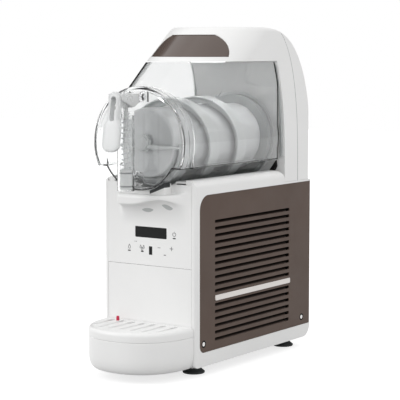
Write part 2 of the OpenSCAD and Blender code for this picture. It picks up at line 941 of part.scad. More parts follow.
// Everything behind the rear cover's seam, drawn in (y, z)
module behind_seam(grow) {
  polygon(concat(
    [for (turn = [0:6:84]) super_arc(seam_reach + grow, roof_z - shelf_z + seam_over, turn)],
    [[roof_end, 2 * roof_z], [2 * cab_d, 2 * roof_z], [2 * cab_d, 0], [roof_end + seam_reach + grow, 0]]
  ));
}

function canopy_centre_y(z) = canopy_centre + (z - canopy_z) * canopy_rake;

module canopy_slab(z, inset) {
  r = half_w - inset;
  translate([0, canopy_centre_y(z), z]) linear_extrude(slab_t) {
    circle(r, $fn = 64);
    translate([-r, 0]) square([2 * r, far]);
  }
}

// The canopy's round front, which leans backwards as it rises and rounds over into the roof
module canopy_round(inset) {
  below = 2;
  crown_share = 0.7;
  top = roof_z - inset;
  hull() {
    canopy_slab(canopy_z - below, inset);
    for (turn = [0:30:60])
      canopy_slab(top - roof_r * (1 - sin(turn)), inset + roof_r * (1 - cos(turn)) / 2);
    canopy_slab(top + 1, inset + crown_share * roof_r);
  }
}

module hood_form(inset, front_inset) {
  r = half_w - inset;
  difference() {
    intersection() {
      x_slab(-r, r) polygon(hood_outline(inset));
      y_slab(-far, far) round_rect([-r, 0], [r, roof_z - inset], [0, 0, roof_r - inset, roof_r - inset]);
    }
    difference() {
      block([-body_w, -far, canopy_z - 1], [body_w, canopy_centre + canopy_h * canopy_rake, roof_z + 1]);
      canopy_round(front_inset);
    }
  }
}

// Rear end of the band at a height: it draws forward in a curve towards the lower edge
function band_end_y(z) = let (drop = (band_z + band_h - band_tip - z) / (band_h - band_tip))
  canopy_centre - band_ends - band_sweep * drop * drop;

// The stretch of the canopy's front that holds the band
module band_zone(clear_gap) {
  steps = 12;
  low = band_z + clear_gap;
  high = band_z + band_h - clear_gap;
  x_slab(-body_w, body_w) polygon(concat(
    [[-far, high], [-far, low]],
    [for (i = [0:steps]) let (z = low + (high - low) * i / steps) [band_end_y(z) - clear_gap, z]]
  ));
}

module chute_prism(grow, z0, z1) {
  chute_r = 4;
  corner = chute_r + grow;
  z_slab(z0, z1) round_rect(
    [-chute_w / 2 - grow, chute_front - grow], [chute_w / 2 + grow, chute_front + chute_l + grow],
    [corner, corner, corner, corner]);
}

module at_hood_lamps() {
  for (x = [-1, 1] * (half_w - lamp_side))
    translate([x, canopy_centre, canopy_z]) children();
}

module hood() {
  lid_gap = 0.2;
  drum_gap = 1;
  drum_hole_end = 10;
  lid_seat = lid_t + lid_gap;
  color(white) difference() {
    hood_form(0, 0);
    difference() {
      hood_form(hood_wall, canopy_wall);
      chute_prism(chute_wall, sleeve_top, roof_z);
    }
    x_slab(-body_w, body_w) behind_seam(0);
    chute_prism(0, canopy_z - 1, roof_z + 1);
    chute_prism(sleeve_t + seat_gap, canopy_z - 1, canopy_z + hood_wall + 1);
    chute_prism(lid_lap, roof_z - lid_seat, roof_z + 1);
    difference() {
      band_zone(0);
      canopy_round(band_sink);
    }
    at_hood_lamps() block([-lamp_w / 2, 0, -1], [lamp_w / 2, lamp_l, lamp_t]);
    y_cylinder(drum_r + drum_gap, column_y - column_d, column_y + drum_hole_end, 0, bowl_z);
  }
}

// The filling chute's walls, from the canopy's floor up to the rim under the roof
module chute_sleeve() {
  color(white) difference() {
    chute_prism(sleeve_t, canopy_z, sleeve_top - seat_gap);
    chute_prism(0, canopy_z - 1, sleeve_top + 1);
  }
}

module rear_cover() {
  cover_gap = 0.4;
  color(white) difference() {
    intersection() {
      x_slab(-half_w, half_w) polygon(hood_outline(0));
      x_slab(-half_w, half_w) behind_seam(cover_gap);
      z_slab(0, roof_z) round_rect([-half_w, 0], [half_w, cab_d], [0, 0, cover_r, cover_r]);
      y_slab(-far, far) round_rect([-half_w, 0], [half_w, roof_z], [0, 0, roof_r, roof_r]);
    }
    intersection() {
      x_slab(hood_wall - half_w, half_w - hood_wall) polygon(hood_outline(hood_wall));
      y_slab(-far, far) round_rect(
        [hood_wall - half_w, 0], [half_w - hood_wall, roof_z - hood_wall],
        [0, 0, roof_r - hood_wall, roof_r - hood_wall]);
    }
  }
}

module hood_band() {
  back_gap = 0.1;
  end_gap = 0.3;
  color(brown) intersection() {
    difference() {
      canopy_round(band_sink - band_t - back_gap);
      canopy_round(band_sink - back_gap);
    }
    band_zone(end_gap);
  }
}

module hood_lamps() {
  color("white") at_hood_lamps()
    block(
      [lamp_gap - lamp_w / 2, lamp_gap, 0],
      [lamp_w / 2 - lamp_gap, lamp_l - lamp_gap, lamp_t - lamp_gap]);
}

module refill_lid() {
  lid_gap = 0.3;
  plug_wall = 3;
  grip_r = 10;
  color(white) difference() {
    union() {
      chute_prism(lid_lap - lid_gap, roof_z - lid_t, roof_z);
      chute_prism(-lid_gap, roof_z - lid_t - lid_plug, roof_z - lid_t + eps);
    }
    chute_prism(-lid_gap - plug_wall, roof_z - lid_t - lid_plug - 1, roof_z - lid_t);
    translate([0, chute_front - lid_lap, roof_z]) cylinder(r = grip_r, h = lid_t, center = true);
  }
}

// Cold drum, auger and drive

module bulkhead() {
  foot_gap = 2;
  rise = 60;
  bearing_gap = 1;
  color(steel) difference() {
    block(
      [hood_wall - half_w + seat_gap, bulkhead_y, column_foot + foot_gap],
      [half_w - hood_wall - seat_gap, bulkhead_y + bulkhead_t, bowl_z + rise]);
    y_cylinder(bearing_r + bearing_gap, bulkhead_y - 1, bulkhead_y + bulkhead_t + 1, 0, bowl_z);
  }
}

module evaporator() {
  front_cap = 4;
  front_edge = 3;
  tube_wall = 2;
  flange_over = 2;
  flange_r = trough_r + flange_over;
  flange_t = 3;
  bore = bush_r + run_gap;
  flange_y = bowl_rear + seat_gap;
  color(steel) translate([0, 0, bowl_z]) rotate([-90, 0, 0]) rotate_extrude($fn = 96) polygon([
    [bore, drum_front], [drum_r - front_edge, drum_front], [drum_r, drum_front + front_edge],
    [drum_r, flange_y], [flange_r, flange_y], [flange_r, flange_y + flange_t],
    [drum_r, flange_y + flange_t], [drum_r, bulkhead_y], [drum_r - drum_wall, bulkhead_y],
    [drum_r - drum_wall, drum_front + front_cap], [bore + tube_wall, drum_front + front_cap],
    [bore + tube_wall, bulkhead_y], [bore, bulkhead_y]
  ]);
}

module bowl_gasket() {
  gasket_l = 13;
  drum_gap = 0.2;
  color(dark) difference() {
    y_cylinder(bore_r - seat_gap, bowl_rear - gasket_l, bowl_rear + seat_gap, 0, bowl_z, $fn = 96);
    y_cylinder(drum_r + drum_gap, bowl_rear - gasket_l - 1, bowl_rear + 1, 0, bowl_z, $fn = 96);
  }
}

module shaft_bush() {
  bush_l = 20;
  color(white) difference() {
    y_cylinder(bush_r, drum_front, drum_front + bush_l, 0, bowl_z);
    y_cylinder(shaft_r + run_gap, drum_front - 1, drum_front + bush_l + 1, 0, bowl_z);
  }
}

module shaft_bearing() {
  bearing_end = gearbox_y + gearbox_wall + 3;
  color(steel) difference() {
    y_cylinder(bearing_r, bulkhead_y, bearing_end, 0, bowl_z);
    y_cylinder(shaft_r + run_gap, bulkhead_y - 1, bearing_end + 1, 0, bowl_z);
  }
}

module gearbox_outline(inset) {
  tooth_room = 6;
  case_r = 10;
  half = gear_r + gear_height + tooth_room - inset;
  low = motor_z - pinion_r - gear_height - tooth_room + inset;
  corner = case_r - inset;
  round_rect([-half, low], [half, bowl_z + half], [corner, corner, corner, corner]);
}

module gearbox_case() {
  color(steel) difference() {
    y_slab(gearbox_y, gearbox_y + gearbox_l) gearbox_outline(0);
    y_slab(gearbox_y + gearbox_wall, gearbox_y + gearbox_l + 1) gearbox_outline(gearbox_wall);
    y_cylinder(bearing_r + run_gap, gearbox_y - 1, gearbox_y + gearbox_wall + 1, 0, bowl_z);
  }
}

module gearbox_cover() {
  shaft_room = 2;
  y0 = gearbox_y + gearbox_l;
  color(steel) difference() {
    y_slab(y0, y0 + gearbox_wall) gearbox_outline(0);
    y_cylinder(motor_shaft_r + shaft_room, y0 - 1, y0 + gearbox_wall + 1, 0, motor_z);
  }
}

module gear_motor() {
  y0 = gearbox_y + gearbox_l + gearbox_wall;
  rib_count = 12;
  rib_h = 1.5;
  rib_half_w = 1.5;
  rib_end = 4;
  color(dark) difference() {
    union() {
      y_cylinder(motor_r - rib_h, y0, y0 + motor_l, 0, motor_z);
      for (i = [0:rib_count - 1])
        translate([0, 0, motor_z]) rotate([0, i * 360 / rib_count, 0])
          block([-rib_half_w, y0 + rib_end, 0], [rib_half_w, y0 + motor_l - rib_end, motor_r]);
    }
    y_cylinder(motor_shaft_r + run_gap, y0 - 1, y0 + motor_l / 2, 0, motor_z);
  }
}

module drive_shaft() {
  past_gear = 4;
  color(steel) y_cylinder(shaft_r, spider_y, gear_y + gear_w + past_gear, 0, bowl_z);
}

// Corner of the auger's blade: turn about the axis, radius, and offset along the axis
function blade_point(turn, r, along) = [
  r * cos(turn), auger_start + auger_pitch * turn / 360 + along, bowl_z - r * sin(turn)
];

module auger_spiral() {
  turn_steps = 32;
  steps = round(turn_steps * auger_turns);
  half = blade_w / 2;
  points = [
    for (i = [0:steps]) let (turn = 360 * auger_turns * i / steps)
      each [
        blade_point(turn, auger_r0, -half), blade_point(turn, auger_r1, -half),
        blade_point(turn, auger_r1, half), blade_point(turn, auger_r0, half)
      ]
  ];
  sides = [
    for (i = [0:steps - 1], k = [0:3]) let (a = 4 * i + k, b = 4 * i + (k + 1) % 4)
      each [[a, b + 4, b], [a, a + 4, b + 4]]
  ];
  last = 4 * steps;
  ends = [[0, 1, 2], [0, 2, 3], [last, last + 2, last + 1], [last, last + 3, last + 2]];
  color(white) polyhedron(points, concat(sides, ends));
}

module auger_spider() {
  hub_r = 16;
  arm_w = 18;
  color(white) difference() {
    union() {
      y_cylinder(hub_r, spider_y, spider_y + spider_t, 0, bowl_z);
      intersection() {
        block([-auger_r1, spider_y, bowl_z - arm_w / 2], [auger_r1, spider_y + spider_t, bowl_z + arm_w / 2]);
        y_cylinder(auger_r1, spider_y - 1, spider_y + spider_t + 1, 0, bowl_z, $fn = 96);
      }
    }
    y_cylinder(shaft_r + press_gap, spider_y - 1, spider_y + spider_t + 1, 0, bowl_z);
  }
}

module auger_cap() {
  cap_l = 5;
  cap_r = 13;
  round_h = 2;
  round_w = 4;
  color(white) translate([0, spider_y, bowl_z]) rotate([90, 0, 0]) rotate_extrude()
    polygon([[0, 0], [cap_r, 0], [cap_r, cap_l - round_h], [cap_r - round_w, cap_l], [0, cap_l]]);
}

// Polar point on an involute flank
function flank_point(base_r, r, start, side) = let (
    angle = acos(base_r / r),
    roll = tan(angle) * 180 / PI - angle,
    turn = side * (start - roll)
  ) [r * cos(turn), r * sin(turn)];

function gear_tooth(teeth) = let (
    pressure = 20,
    steps = 3,
    pitch_r = gear_module * teeth / 2,
    base_r = pitch_r * cos(pressure),
    root_r = pitch_r - gear_depth,
    tip_r = pitch_r + gear_height,
    low_r = max(base_r, root_r),
    slack = gear_backlash / 2 / pitch_r * 180 / PI,
    start = 90 / teeth + tan(pressure) * 180 / PI - pressure - slack
  ) concat(
    [[root_r * cos(start), -root_r * sin(start)]],
    [for (i = [0:steps]) flank_point(base_r, low_r + (tip_r - low_r) * i / steps, start, -1)],
    [for (i = [steps:-1:0]) flank_point(base_r, low_r + (tip_r - low_r) * i / steps, start, 1)],
    [[root_r * cos(start), root_r * sin(start)]]
  );

module gear_outline(teeth, turn) {
  polygon([
    for (k = [0:teeth - 1], p = gear_tooth(teeth)) let (a = turn + k * 360 / teeth)
      [p.x * cos(a) - p.y * sin(a), p.x * sin(a) + p.y * cos(a)]
  ]);
}

module output_gear() {
  // A gap of this gear faces straight down, towards the pinion
  gap_turn = -90 + 180 / gear_teeth;
  color(white) difference() {
    translate([0, 0, bowl_z]) y_slab(gear_y, gear_y + gear_w) gear_outline(gear_teeth, gap_turn);
    y_cylinder(shaft_r + press_gap, gear_y - 1, gear_y + gear_w + 1, 0, bowl_z);
  }
}

module motor_pinion() {
  // A tooth of the pinion faces straight up
  color(steel) {
    translate([0, 0, motor_z]) y_slab(gear_y, gear_y + gear_w) gear_outline(pinion_teeth, 90);
    y_cylinder(
      motor_shaft_r, gear_y + gear_w - eps,
      gearbox_y + gearbox_l + gearbox_wall + motor_l / 2 - 1, 0, motor_z);
  }
}

// Cooling unit

module compressor_mounts() {
  color(dark) at_compressor_mounts() z_slab(pan_z, pan_z + mount_h) difference() {
    circle(mount_r);
    circle(mount_bolt_r);
  }
}

module at_compressor_mounts() {
  for (x = [-mount_x, mount_x], y = [comp_y - mount_y, comp_y + mount_y])
    translate([x, y, 0]) children();
}

module compressor_dome() {
  edge_w = 6;
  edge_h = 8;
  shoulder = [1, 0.6];
  bend = [0.9, 0.8];
  crown = [0.6, 0.95];
  translate([0, comp_y, 0]) rotate_extrude() polygon(concat(
    [[0, 0], [comp_r - edge_w, 0], [comp_r, edge_h]],
    [for (share = [shoulder, bend, crown]) [comp_r * share.x, comp_h * share.y]],
    [[0, comp_h]]
  ));
}

module compressor() {
  z0 = pan_z + mount_h;
  edge = 12;
  color(black) difference() {
    union() {
      block(
        [-mount_x - edge, comp_y - mount_y - edge, z0],
        [mount_x + edge, comp_y + mount_y + edge, z0 + comp_base_t]);
      translate([0, 0, z0 + comp_base_t - eps]) compressor_dome();
    }
    at_compressor_mounts() cylinder(r = mount_bolt_r, h = z0 + 2 * comp_base_t);
  }
}

module condenser() {
  fin_count = 14;
  fin_t = 1;
  tube_rows = 6;
  tube_r = 4;
  pitch = (cond_w - fin_t) / (fin_count - 1);
  color(copper) {
    for (i = [0:fin_count - 1])
      block(
        [i * pitch - cond_w / 2, cond_y, pan_z],
        [i * pitch - cond_w / 2 + fin_t, cond_y + cond_t, pan_z + cond_h]);
    for (row = [0:tube_rows - 1])
      x_cylinder(
        tube_r, -cond_w / 2, cond_w / 2, cond_y + cond_t / 2, pan_z + cond_h * (row + 0.5) / tube_rows);
  }
}

module fan_shroud() {
  shroud_in = 4;
  shroud_w = cond_w - shroud_in;
  wall = 3;
  arm_w = 8;
  arm_over = 6;
  tip_gap = 4;
  ring_t = 4;
  shaft_room = 3;
  ring_y = fan_y - fan_ring_l;
  color(dark) difference() {
    union() {
      block([-shroud_w / 2, fan_y, pan_z], [shroud_w / 2, cond_y, pan_z + cond_h]);
      y_cylinder(fan_r + tip_gap + ring_t, ring_y, fan_y + eps, 0, fan_z);
    }
    block(
      [wall - shroud_w / 2, fan_y + wall, pan_z - 1],
      [shroud_w / 2 - wall, cond_y + 1, pan_z + cond_h - wall]);
    y_cylinder(fan_r + tip_gap, ring_y - 1, cond_y, 0, fan_z);
  }
  color(dark) difference() {
    for (turn = [45, 135])
      translate([0, 0, fan_z]) rotate([0, turn, 0])
        block(
          [-fan_r - arm_over, ring_y - fan_arm_t, -arm_w / 2], [fan_r + arm_over, ring_y + eps, arm_w / 2]);
    y_cylinder(fan_shaft_r + shaft_room, ring_y - 2 * fan_arm_t, fan_y, 0, fan_z);
  }
}

module fan_motor() {
  motor_len = 26;
  y1 = fan_y - fan_ring_l - fan_arm_t;
  color(black) {
    y_cylinder(fan_motor_r, y1 - motor_len, y1, 0, fan_z);
    y_cylinder(fan_shaft_r, y1 - eps, fan_y - 1, 0, fan_z);
  }
}

module fan_blades() {
  hub_r = 14;
  hub_l = 11;
  hub_y1 = fan_y - 1;
  hub_y0 = hub_y1 - hub_l;
  blade_half = 1;
  blade_turn = 32;
  blade_half_l = 20;
  blade_sink = 4;
  color(dark) difference() {
    union() {
      y_cylinder(hub_r, hub_y0, hub_y1, 0, fan_z);
      intersection() {
        y_cylinder(fan_r, hub_y0, hub_y1, 0, fan_z);
        for (i = [0:fan_count - 1])
          translate([0, (hub_y0 + hub_y1) / 2, fan_z]) rotate([0, i * 360 / fan_count, 0])
            rotate([0, 0, blade_turn])
              block(
                [-blade_half_l, -blade_half, hub_r - blade_sink],
                [blade_half_l, blade_half, fan_r + blade_sink]);
      }
    }
    y_cylinder(fan_shaft_r + run_gap, hub_y0 - 1, hub_y1 + 1, 0, fan_z);
  }
}

module discharge_line() {
  pipe_r = 4;
  x = 24;
  arch_h = 26;
  start_share = 0.9;
  low = pan_z + mount_h + comp_base_t + comp_h * start_share;
  top = pan_z + cond_h + arch_h;
  end_y = cond_y + cond_t / 2;
  end_z = pan_z + cond_h + seat_gap;
  color(copper) {
    difference() {
      translate([x, comp_y, low]) cylinder(r = pipe_r, h = top - low);
      translate([0, 0, pan_z + mount_h + comp_base_t + seat_gap]) compressor_dome();
    }
    translate([x, comp_y, top]) sphere(pipe_r);
    y_cylinder(pipe_r, comp_y, end_y, x, top);
    translate([x, end_y, top]) sphere(pipe_r);
    translate([x, end_y, end_z]) cylinder(r = pipe_r, h = top - end_z);
  }
}

// Bowl with its tap

function hopper_centre_y(z) = hopper_centre - (hopper_z - z) * hopper_rake;

module hopper_slab(z, inset) {
  r = hopper_half_w - inset;
  translate([0, hopper_centre_y(z), z]) linear_extrude(eps) {
    circle(r, $fn = 64);
    translate([-r, 0]) square([2 * r, far]);
  }
}

// The hopper's round front, which leans backwards as it rises
module hopper_form(inset) {
  intersection() {
    hull() {
      hopper_slab(ledge_z - 2, inset);
      hopper_slab(hopper_z + 2, inset);
    }
    block([-half_w, inset, ledge_z + inset], [half_w, far, hopper_z + inset]);
  }
}

// Where the bowl ends at the back: upright behind the trough, then forward along the column's front
module bowl_back(inset) {
  column_gap = 1.5;
  steps = 6;
  bend_rise = 6;
  above = 10;
  bend_z = bowl_z + trough_r + bend_rise;
  x_slab(-half_w, half_w) polygon(concat(
    [[-far / 2, 0], [bowl_rear - inset, 0]],
    [for (i = [0:steps]) let (z = bend_z + (canopy_z + above - bend_z) * i / steps)
      [min(bowl_rear, window_y(z) - column_gap) - inset, z]],
    [[-far / 2, canopy_z + above]]
  ));
}

module bowl_upper(inset) {
  intersection() {
    union() {
      y_cylinder(body_r - inset, -collar_l + inset, bowl_rear, 0, bowl_z, $fn = 96);
      hopper_form(inset);
    }
    block([-half_w, -far, ledge_z + inset], [half_w, far, hopper_z + inset]);
    bowl_back(inset);
  }
}

module tap_ears() {
  difference() {
    for (x = [-ear_x1, ear_x0]) {
      x_cylinder(ear_r, x, x + ear_x1 - ear_x0, pivot_y, pivot_z);
      block(
        [x, pivot_y, pivot_z - ear_r],
        [x + ear_x1 - ear_x0, bowl_wall - collar_l - eps, pivot_z + ear_r]);
    }
    x_cylinder(pivot_r + run_gap, -ear_x1 - 1, ear_x1 + 1, pivot_y, pivot_z);
  }
}

module bowl() {
  color(clear) difference() {
    union() {
      bowl_upper(0);
      intersection() {
        y_cylinder(collar_r, -collar_l, 0, 0, bowl_z, $fn = 96);
        block([-half_w, -far, ledge_z], [half_w, far, hopper_z]);
      }
      y_cylinder(trough_r, -collar_l, bowl_rear, 0, bowl_z, $fn = 96);
      tap_ears();
    }
    bowl_upper(bowl_wall);
    y_cylinder(bore_r, bowl_wall - collar_l, bowl_rear + 1, 0, bowl_z, $fn = 96);
    y_cylinder(duct_r, -collar_l - 1, bowl_wall - collar_l + 1, 0, duct_z);
  }
}

// The tap's upright tube, joined to the bowl's front by a short neck
module tap_tube() {
  neck_wall = 3;
  neck_r = duct_r + neck_wall;
  color(clear) difference() {
    union() {
      translate([0, tap_y, mouth_z]) cylinder(r = tube_r, h = tube_l);
      y_cylinder(neck_r, tap_y, -collar_l - press_gap, 0, duct_z);
    }
    translate([0, tap_y, mouth_z - 1]) cylinder(r = tube_bore_r, h = tube_l + 2);
    y_cylinder(duct_r, tap_y, 1 - collar_l, 0, duct_z);
  }
}

module tap_cap() {
  plug_gap = 0.1;
  color(clear) difference() {
    union() {
      translate([0, tap_y, tube_top]) cylinder(r = tube_r, h = cap_t);
      translate([0, tap_y, tube_top - cap_plug]) cylinder(r = tube_bore_r - plug_gap, h = cap_plug + eps);
    }
    translate([0, tap_y, tube_top - cap_plug - 1]) cylinder(r = rod_r + run_gap, h = cap_t + cap_plug + 2);
  }
}

module lever_pin() {
  color(steel) x_cylinder(pivot_r, -ear_x1 - 1, ear_x1 + 1, pivot_y, pivot_z);
}

// The paddle widens from a round top to a round foot, with a finger slot below the top
module paddle_outline() {
  slot_half_w = 6;
  slot_r = 5;
  slot_top = -8;
  slot_low = -50;
  top_r = paddle_top_w / 2;
  foot_r = paddle_w / 2;
  top_y = -top_r;
  foot_y = foot_r - paddle_l;
  lean = asin((foot_r - top_r) / (top_y - foot_y));
  difference() {
    union() {
      translate([0, top_y]) circle(top_r);
      translate([0, foot_y]) circle(foot_r);
      polygon([
        [-top_r * cos(lean), top_y + top_r * sin(lean)], [top_r * cos(lean), top_y + top_r * sin(lean)],
        [foot_r * cos(lean), foot_y + foot_r * sin(lean)], [-foot_r * cos(lean), foot_y + foot_r * sin(lean)]
      ]);
    }
    round_rect([-slot_half_w, slot_low], [slot_half_w, slot_top], [slot_r, slot_r, slot_r, slot_r]);
  }
}

module tap_lever() {
  paddle_y = tap_y - paddle_ahead - paddle_t / 2;
  arm_h = 10;
  arm_grip = 4;
  yoke_h = 6;
  pin_edge = 5;
  boss_in = 2;
  color(clear) difference() {
    union() {
      translate([0, paddle_y, pivot_z + paddle_rise]) rotate([-paddle_tilt, 0, 0]) rotate([90, 0, 0])
        linear_extrude(paddle_t) paddle_outline();
      for (x = [-arm_x1, arm_x0])
        x_slab(x, x + arm_x1 - arm_x0) polygon([
          [pivot_y, pivot_z + arm_h / 2], [paddle_y - arm_grip, pivot_z + yoke_h],
          [paddle_y - arm_grip, pivot_z - arm_h / 2],
          [lift_pin_y - pin_edge, eye_z - pin_edge], [lift_pin_y + pin_edge, eye_z - pin_edge],
          [pivot_y, pivot_z - arm_h / 2]
        ]);
      block([-arm_x1, paddle_y - arm_grip, pivot_z], [arm_x1, paddle_y + arm_grip, pivot_z + yoke_h]);
      for (x = [-arm_x1, arm_x0])
        x_cylinder(ear_r - boss_in, x, x + arm_x1 - arm_x0, pivot_y, pivot_z);
      x_cylinder(lift_pin_r, -arm_x1, arm_x1, lift_pin_y, eye_z);
    }
    x_cylinder(pivot_r + run_gap, -arm_x1 - 1, arm_x1 + 1, pivot_y, pivot_z);
  }
}

module tap_piston() {
  eye_half_w = 8;
  eye_half_l = 9;
  eye_half_h = 7;
  slot_half_l = 5.2;
  slot_gap = 0.35;
  slot_half_h = lift_pin_r + slot_gap;
  color(white) difference() {
    union() {
      translate([0, tap_y, piston_z]) cylinder(r = piston_r, h = piston_l);
      translate([0, tap_y, piston_top - eps]) cylinder(r = rod_r, h = rod_l - eye_half_h + 1);
      block(
        [-eye_half_w, tap_y - eye_half_l, eye_z - eye_half_h],
        [eye_half_w, tap_y + eye_half_l, eye_z + eye_half_h]);
    }
    block(
      [-2 * eye_half_w, tap_y - slot_half_l, eye_z - slot_half_h],
      [2 * eye_half_w, tap_y + slot_half_l, eye_z + slot_half_h]);
    for (z = ring_grooves)
      translate([0, tap_y, z]) difference() {
        cylinder(r = piston_r + 1, h = groove_h);
        translate([0, 0, -1]) cylinder(r = piston_r - groove_d, h = groove_h + 2);
      }
  }
}

module piston_rings() {
  ring_gap = 0.1;
  color(dark) for (z = ring_grooves)
    translate([0, tap_y, z + ring_gap]) difference() {
      cylinder(r = tube_bore_r - run_gap, h = groove_h - 2 * ring_gap);
      translate([0, 0, -1]) cylinder(r = piston_r - groove_d + run_gap, h = groove_h + 2);
    }
}

// Tap spring: one tube along a helix, with short upright ends

// Middle of the spring's wire, as [point, tangent, outward direction], along the helix
function spring_station(i) = let (
    turn = 360 * spring_curls * i / spring_rings,
    climb = spring_helix_h / (2 * PI * spring_r * spring_curls)
  ) [
    [spring_r * cos(turn), spring_r * sin(turn), spring_z0 + spring_lead + spring_helix_h * i / spring_rings],
    [-sin(turn), cos(turn), climb] / sqrt(1 + climb * climb),
    [cos(turn), sin(turn), 0]
  ];

// The wire's upright ends, bent into the helix
function spring_end(lean, height, side, z_end) = [
  [spring_r, -side * spring_bend * cos(lean), z_end + side * height],
  [0, sin(lean), cos(lean)],
  [1, 0, 0]
];

function spring_path() = concat(
  [spring_end(0, 0, 1, spring_z0), spring_end(0, wire_d, 1, spring_z0)],
  [spring_end(45, wire_d + spring_bend * sin(45), 1, spring_z0)],
  [for (i = [0:spring_rings]) spring_station(i)],
  [spring_end(45, wire_d + spring_bend * sin(45), -1, spring_z1)],
  [spring_end(0, wire_d, -1, spring_z1), spring_end(0, 0, -1, spring_z1)]
);

module tube_along(path, r) {
  sides = 6;
  points = [
    for (station = path, k = [0:sides - 1]) let (
        outward = station[2],
        across = cross(station[1], outward),
        turn = k * 360 / sides
      ) station[0] + r * (cos(turn) * outward + sin(turn) * across)
  ];
  walls = [
    for (i = [0:len(path) - 2], k = [0:sides - 1]) let (a = i * sides + k, b = i * sides + (k + 1) % sides)
      each [[a, b + sides, b], [a, a + sides, b + sides]]
  ];
  last = (len(path) - 1) * sides;
  ends = [
    for (k = [1:sides - 2]) each [[0, k, k + 1], [last, last + k + 1, last + k]]
  ];
  polyhedron(points, concat(walls, ends));
}

// Least space between one curl of the spring and the next, over the points of the helix
function spring_least_gap() = min([
  for (i = [0:spring_rings - 8], j = [i + 5:min(i + 12, spring_rings)])
    norm(spring_station(i)[0] - spring_station(j)[0]) - wire_d
]);

module tap_spring() {
  echo(tap_spring_least_gap = spring_least_gap());
  color(steel) translate([0, tap_y, 0]) tube_along(spring_path(), wire_d / 2);
}

// Drip tray, cover and float

// Outline of the tray, square at the back and round at the front, drawn in (x, y)
function tray_outline(inset) = [
  for (turn = [0:5:180]) let (c = cos(turn), s = sin(turn))
    [
      (tray_w / 2 - inset) * sign(c) * pow(abs(c), 2 / tray_power),
      -(tray_reach - inset) * pow(s, 2 / tray_power)
    ]
];

module tray_slab(z0, z1, inset, rear) {
  z_slab(z0, z1) intersection() {
    polygon(tray_outline(inset));
    translate([-tray_w, -2 * tray_reach - tray_gap - rear]) square(2 * [tray_w, tray_reach]);
  }
}

// The tray's outside, or its inside when given a wall, with sides that curve in towards the floor
module tray_form(wall, floor_t) {
  curve = [[0, 14], [3, 8], [9, 3.5], [20, 0.8]];
  low = tray_low + floor_t;
  hull() {
    for (step = curve)
      tray_slab(low + step[0], low + step[0] + slab_t, step[1] + wall, wall);
    tray_slab(low + tray_curve_h, tray_rim + wall, wall, wall);
  }
}

module at_tongues() {
  for (x = [-tongue_x, tongue_x])
    translate([x, 0, tongue_z]) children();
}

module drip_tray() {
  color(white) difference() {
    union() {
      difference() {
        tray_form(0, 0);
        tray_form(tray_wall, tray_floor - tray_low);
      }
      at_tongues() block(
        [-tongue_half_w - pocket_wall, -tongue_l - pocket_wall - 1, tray_floor - tongue_z - eps],
        [tongue_half_w + pocket_wall, -1, tongue_h + pocket_wall]);
    }
    at_tongues() block(
      [-tongue_half_w - seat_gap, -tongue_l - 1, -seat_gap],
      [tongue_half_w + seat_gap, 1, tongue_h + seat_gap]);
  }
}

module tray_tongues() {
  color(steel) at_tongues() block([-tongue_half_w, -tongue_l, 0], [tongue_half_w, 0, tongue_h]);
}

module drip_cover() {
  edge = 6;
  lip_h = 5;
  lip_t = 2.6;
  lip_gap = 0.4;
  plate_t = 4;
  short_by = 14;
  lip_in = tray_wall + lip_gap + lip_t;
  rim_gap = 0.2;
  z0 = tray_rim + rim_gap;
  middle = (slot_count - 1) / 2;
  color(white) difference() {
    union() {
      hull() {
        tray_slab(z0, cover_top - edge, 0, 0);
        tray_slab(cover_top - edge / 3, cover_top - edge / 3 + slab_t, edge / 3, 0);
        tray_slab(cover_top - slab_t, cover_top, edge, 0);
      }
      tray_slab(z0 - lip_h, z0 + 1, tray_wall + lip_gap, tray_wall + lip_gap);
    }
    tray_slab(z0 - lip_h - 1, cover_top - plate_t, lip_in, lip_in);
    for (i = [0:slot_count - 1]) cover_slot(i, abs(i - middle) == middle ? short_by : 0);
    translate([float_x, -float_y, z0]) cylinder(r = float_pin_r + seat_gap, h = 2 * cover_h);
  }
}

// One slot of the cover: a shallow trough with a drain at its rear, the outermost pair cut short in front
module cover_slot(i, short) {
  x0 = (i - (slot_count - 1) / 2) * slot_pitch - slot_w / 2;
  x1 = x0 + slot_w;
  end_flat = 1;
  r = (slot_w - end_flat) / 2;
  z_slab(cover_top - slot_d, cover_top + 1)
    round_rect([x0, short - slot_gap - slot_l], [x1, -slot_gap], [r, r, r, r]);
  z_slab(tray_rim, cover_top + 1)
    round_rect([x0, -slot_gap - drain_l], [x1, -slot_gap], [r, r, r, r]);
}

module tray_float() {
  z0 = tray_floor + seat_gap;
  color(red) translate([float_x, -float_y, z0]) rotate_extrude() polygon([
    [0, 0], [float_body_r, 0], [float_body_r, float_body_h - 3], [float_body_r - 3, float_body_h],
    [float_pin_r, float_body_h], [float_pin_r, cover_top + float_show - z0 - 1],
    [float_pin_r - 1, cover_top + float_show - z0], [0, cover_top + float_show - z0]
  ]);
}

place() base_pan();
place() left_side_frame();
place() right_side_frame();
place() left_side_panel();
place() right_side_panel();
place() trim_bars();
place() panel_screws();
place() control_fascia();
place() splash_panel();
place() display_lenses();
place() display_board();
place() bowl_saddle();
place() cradle_deck();
place() rear_panel();
place() cable_gland();
place() control_board();
place() front_left_foot();
place() front_right_foot();
place() rear_left_foot();
place() rear_right_foot();
place() foot_studs();
place() hood();
place() chute_sleeve();
place() rear_cover();
place() hood_band();
place() hood_lamps();
place() bulkhead();
place() evaporator();
place() bowl_gasket();
place() shaft_bush();
place() shaft_bearing();
place() gearbox_case();
place() gearbox_cover();
place() gear_motor();
place() compressor();
place() compressor_mounts();
place() condenser();
place() fan_shroud();
place() fan_motor();
place() discharge_line();
place() tray_tongues();
place() drive_shaft();
place() auger_spiral();
place() auger_spider();
place() auger_cap();
place() output_gear();
place() motor_pinion();
place() fan_blades();
place() bowl();
place() tap_tube();
place() tap_cap();
place() lever_pin();
place() tap_spring();
place() tap_lever();
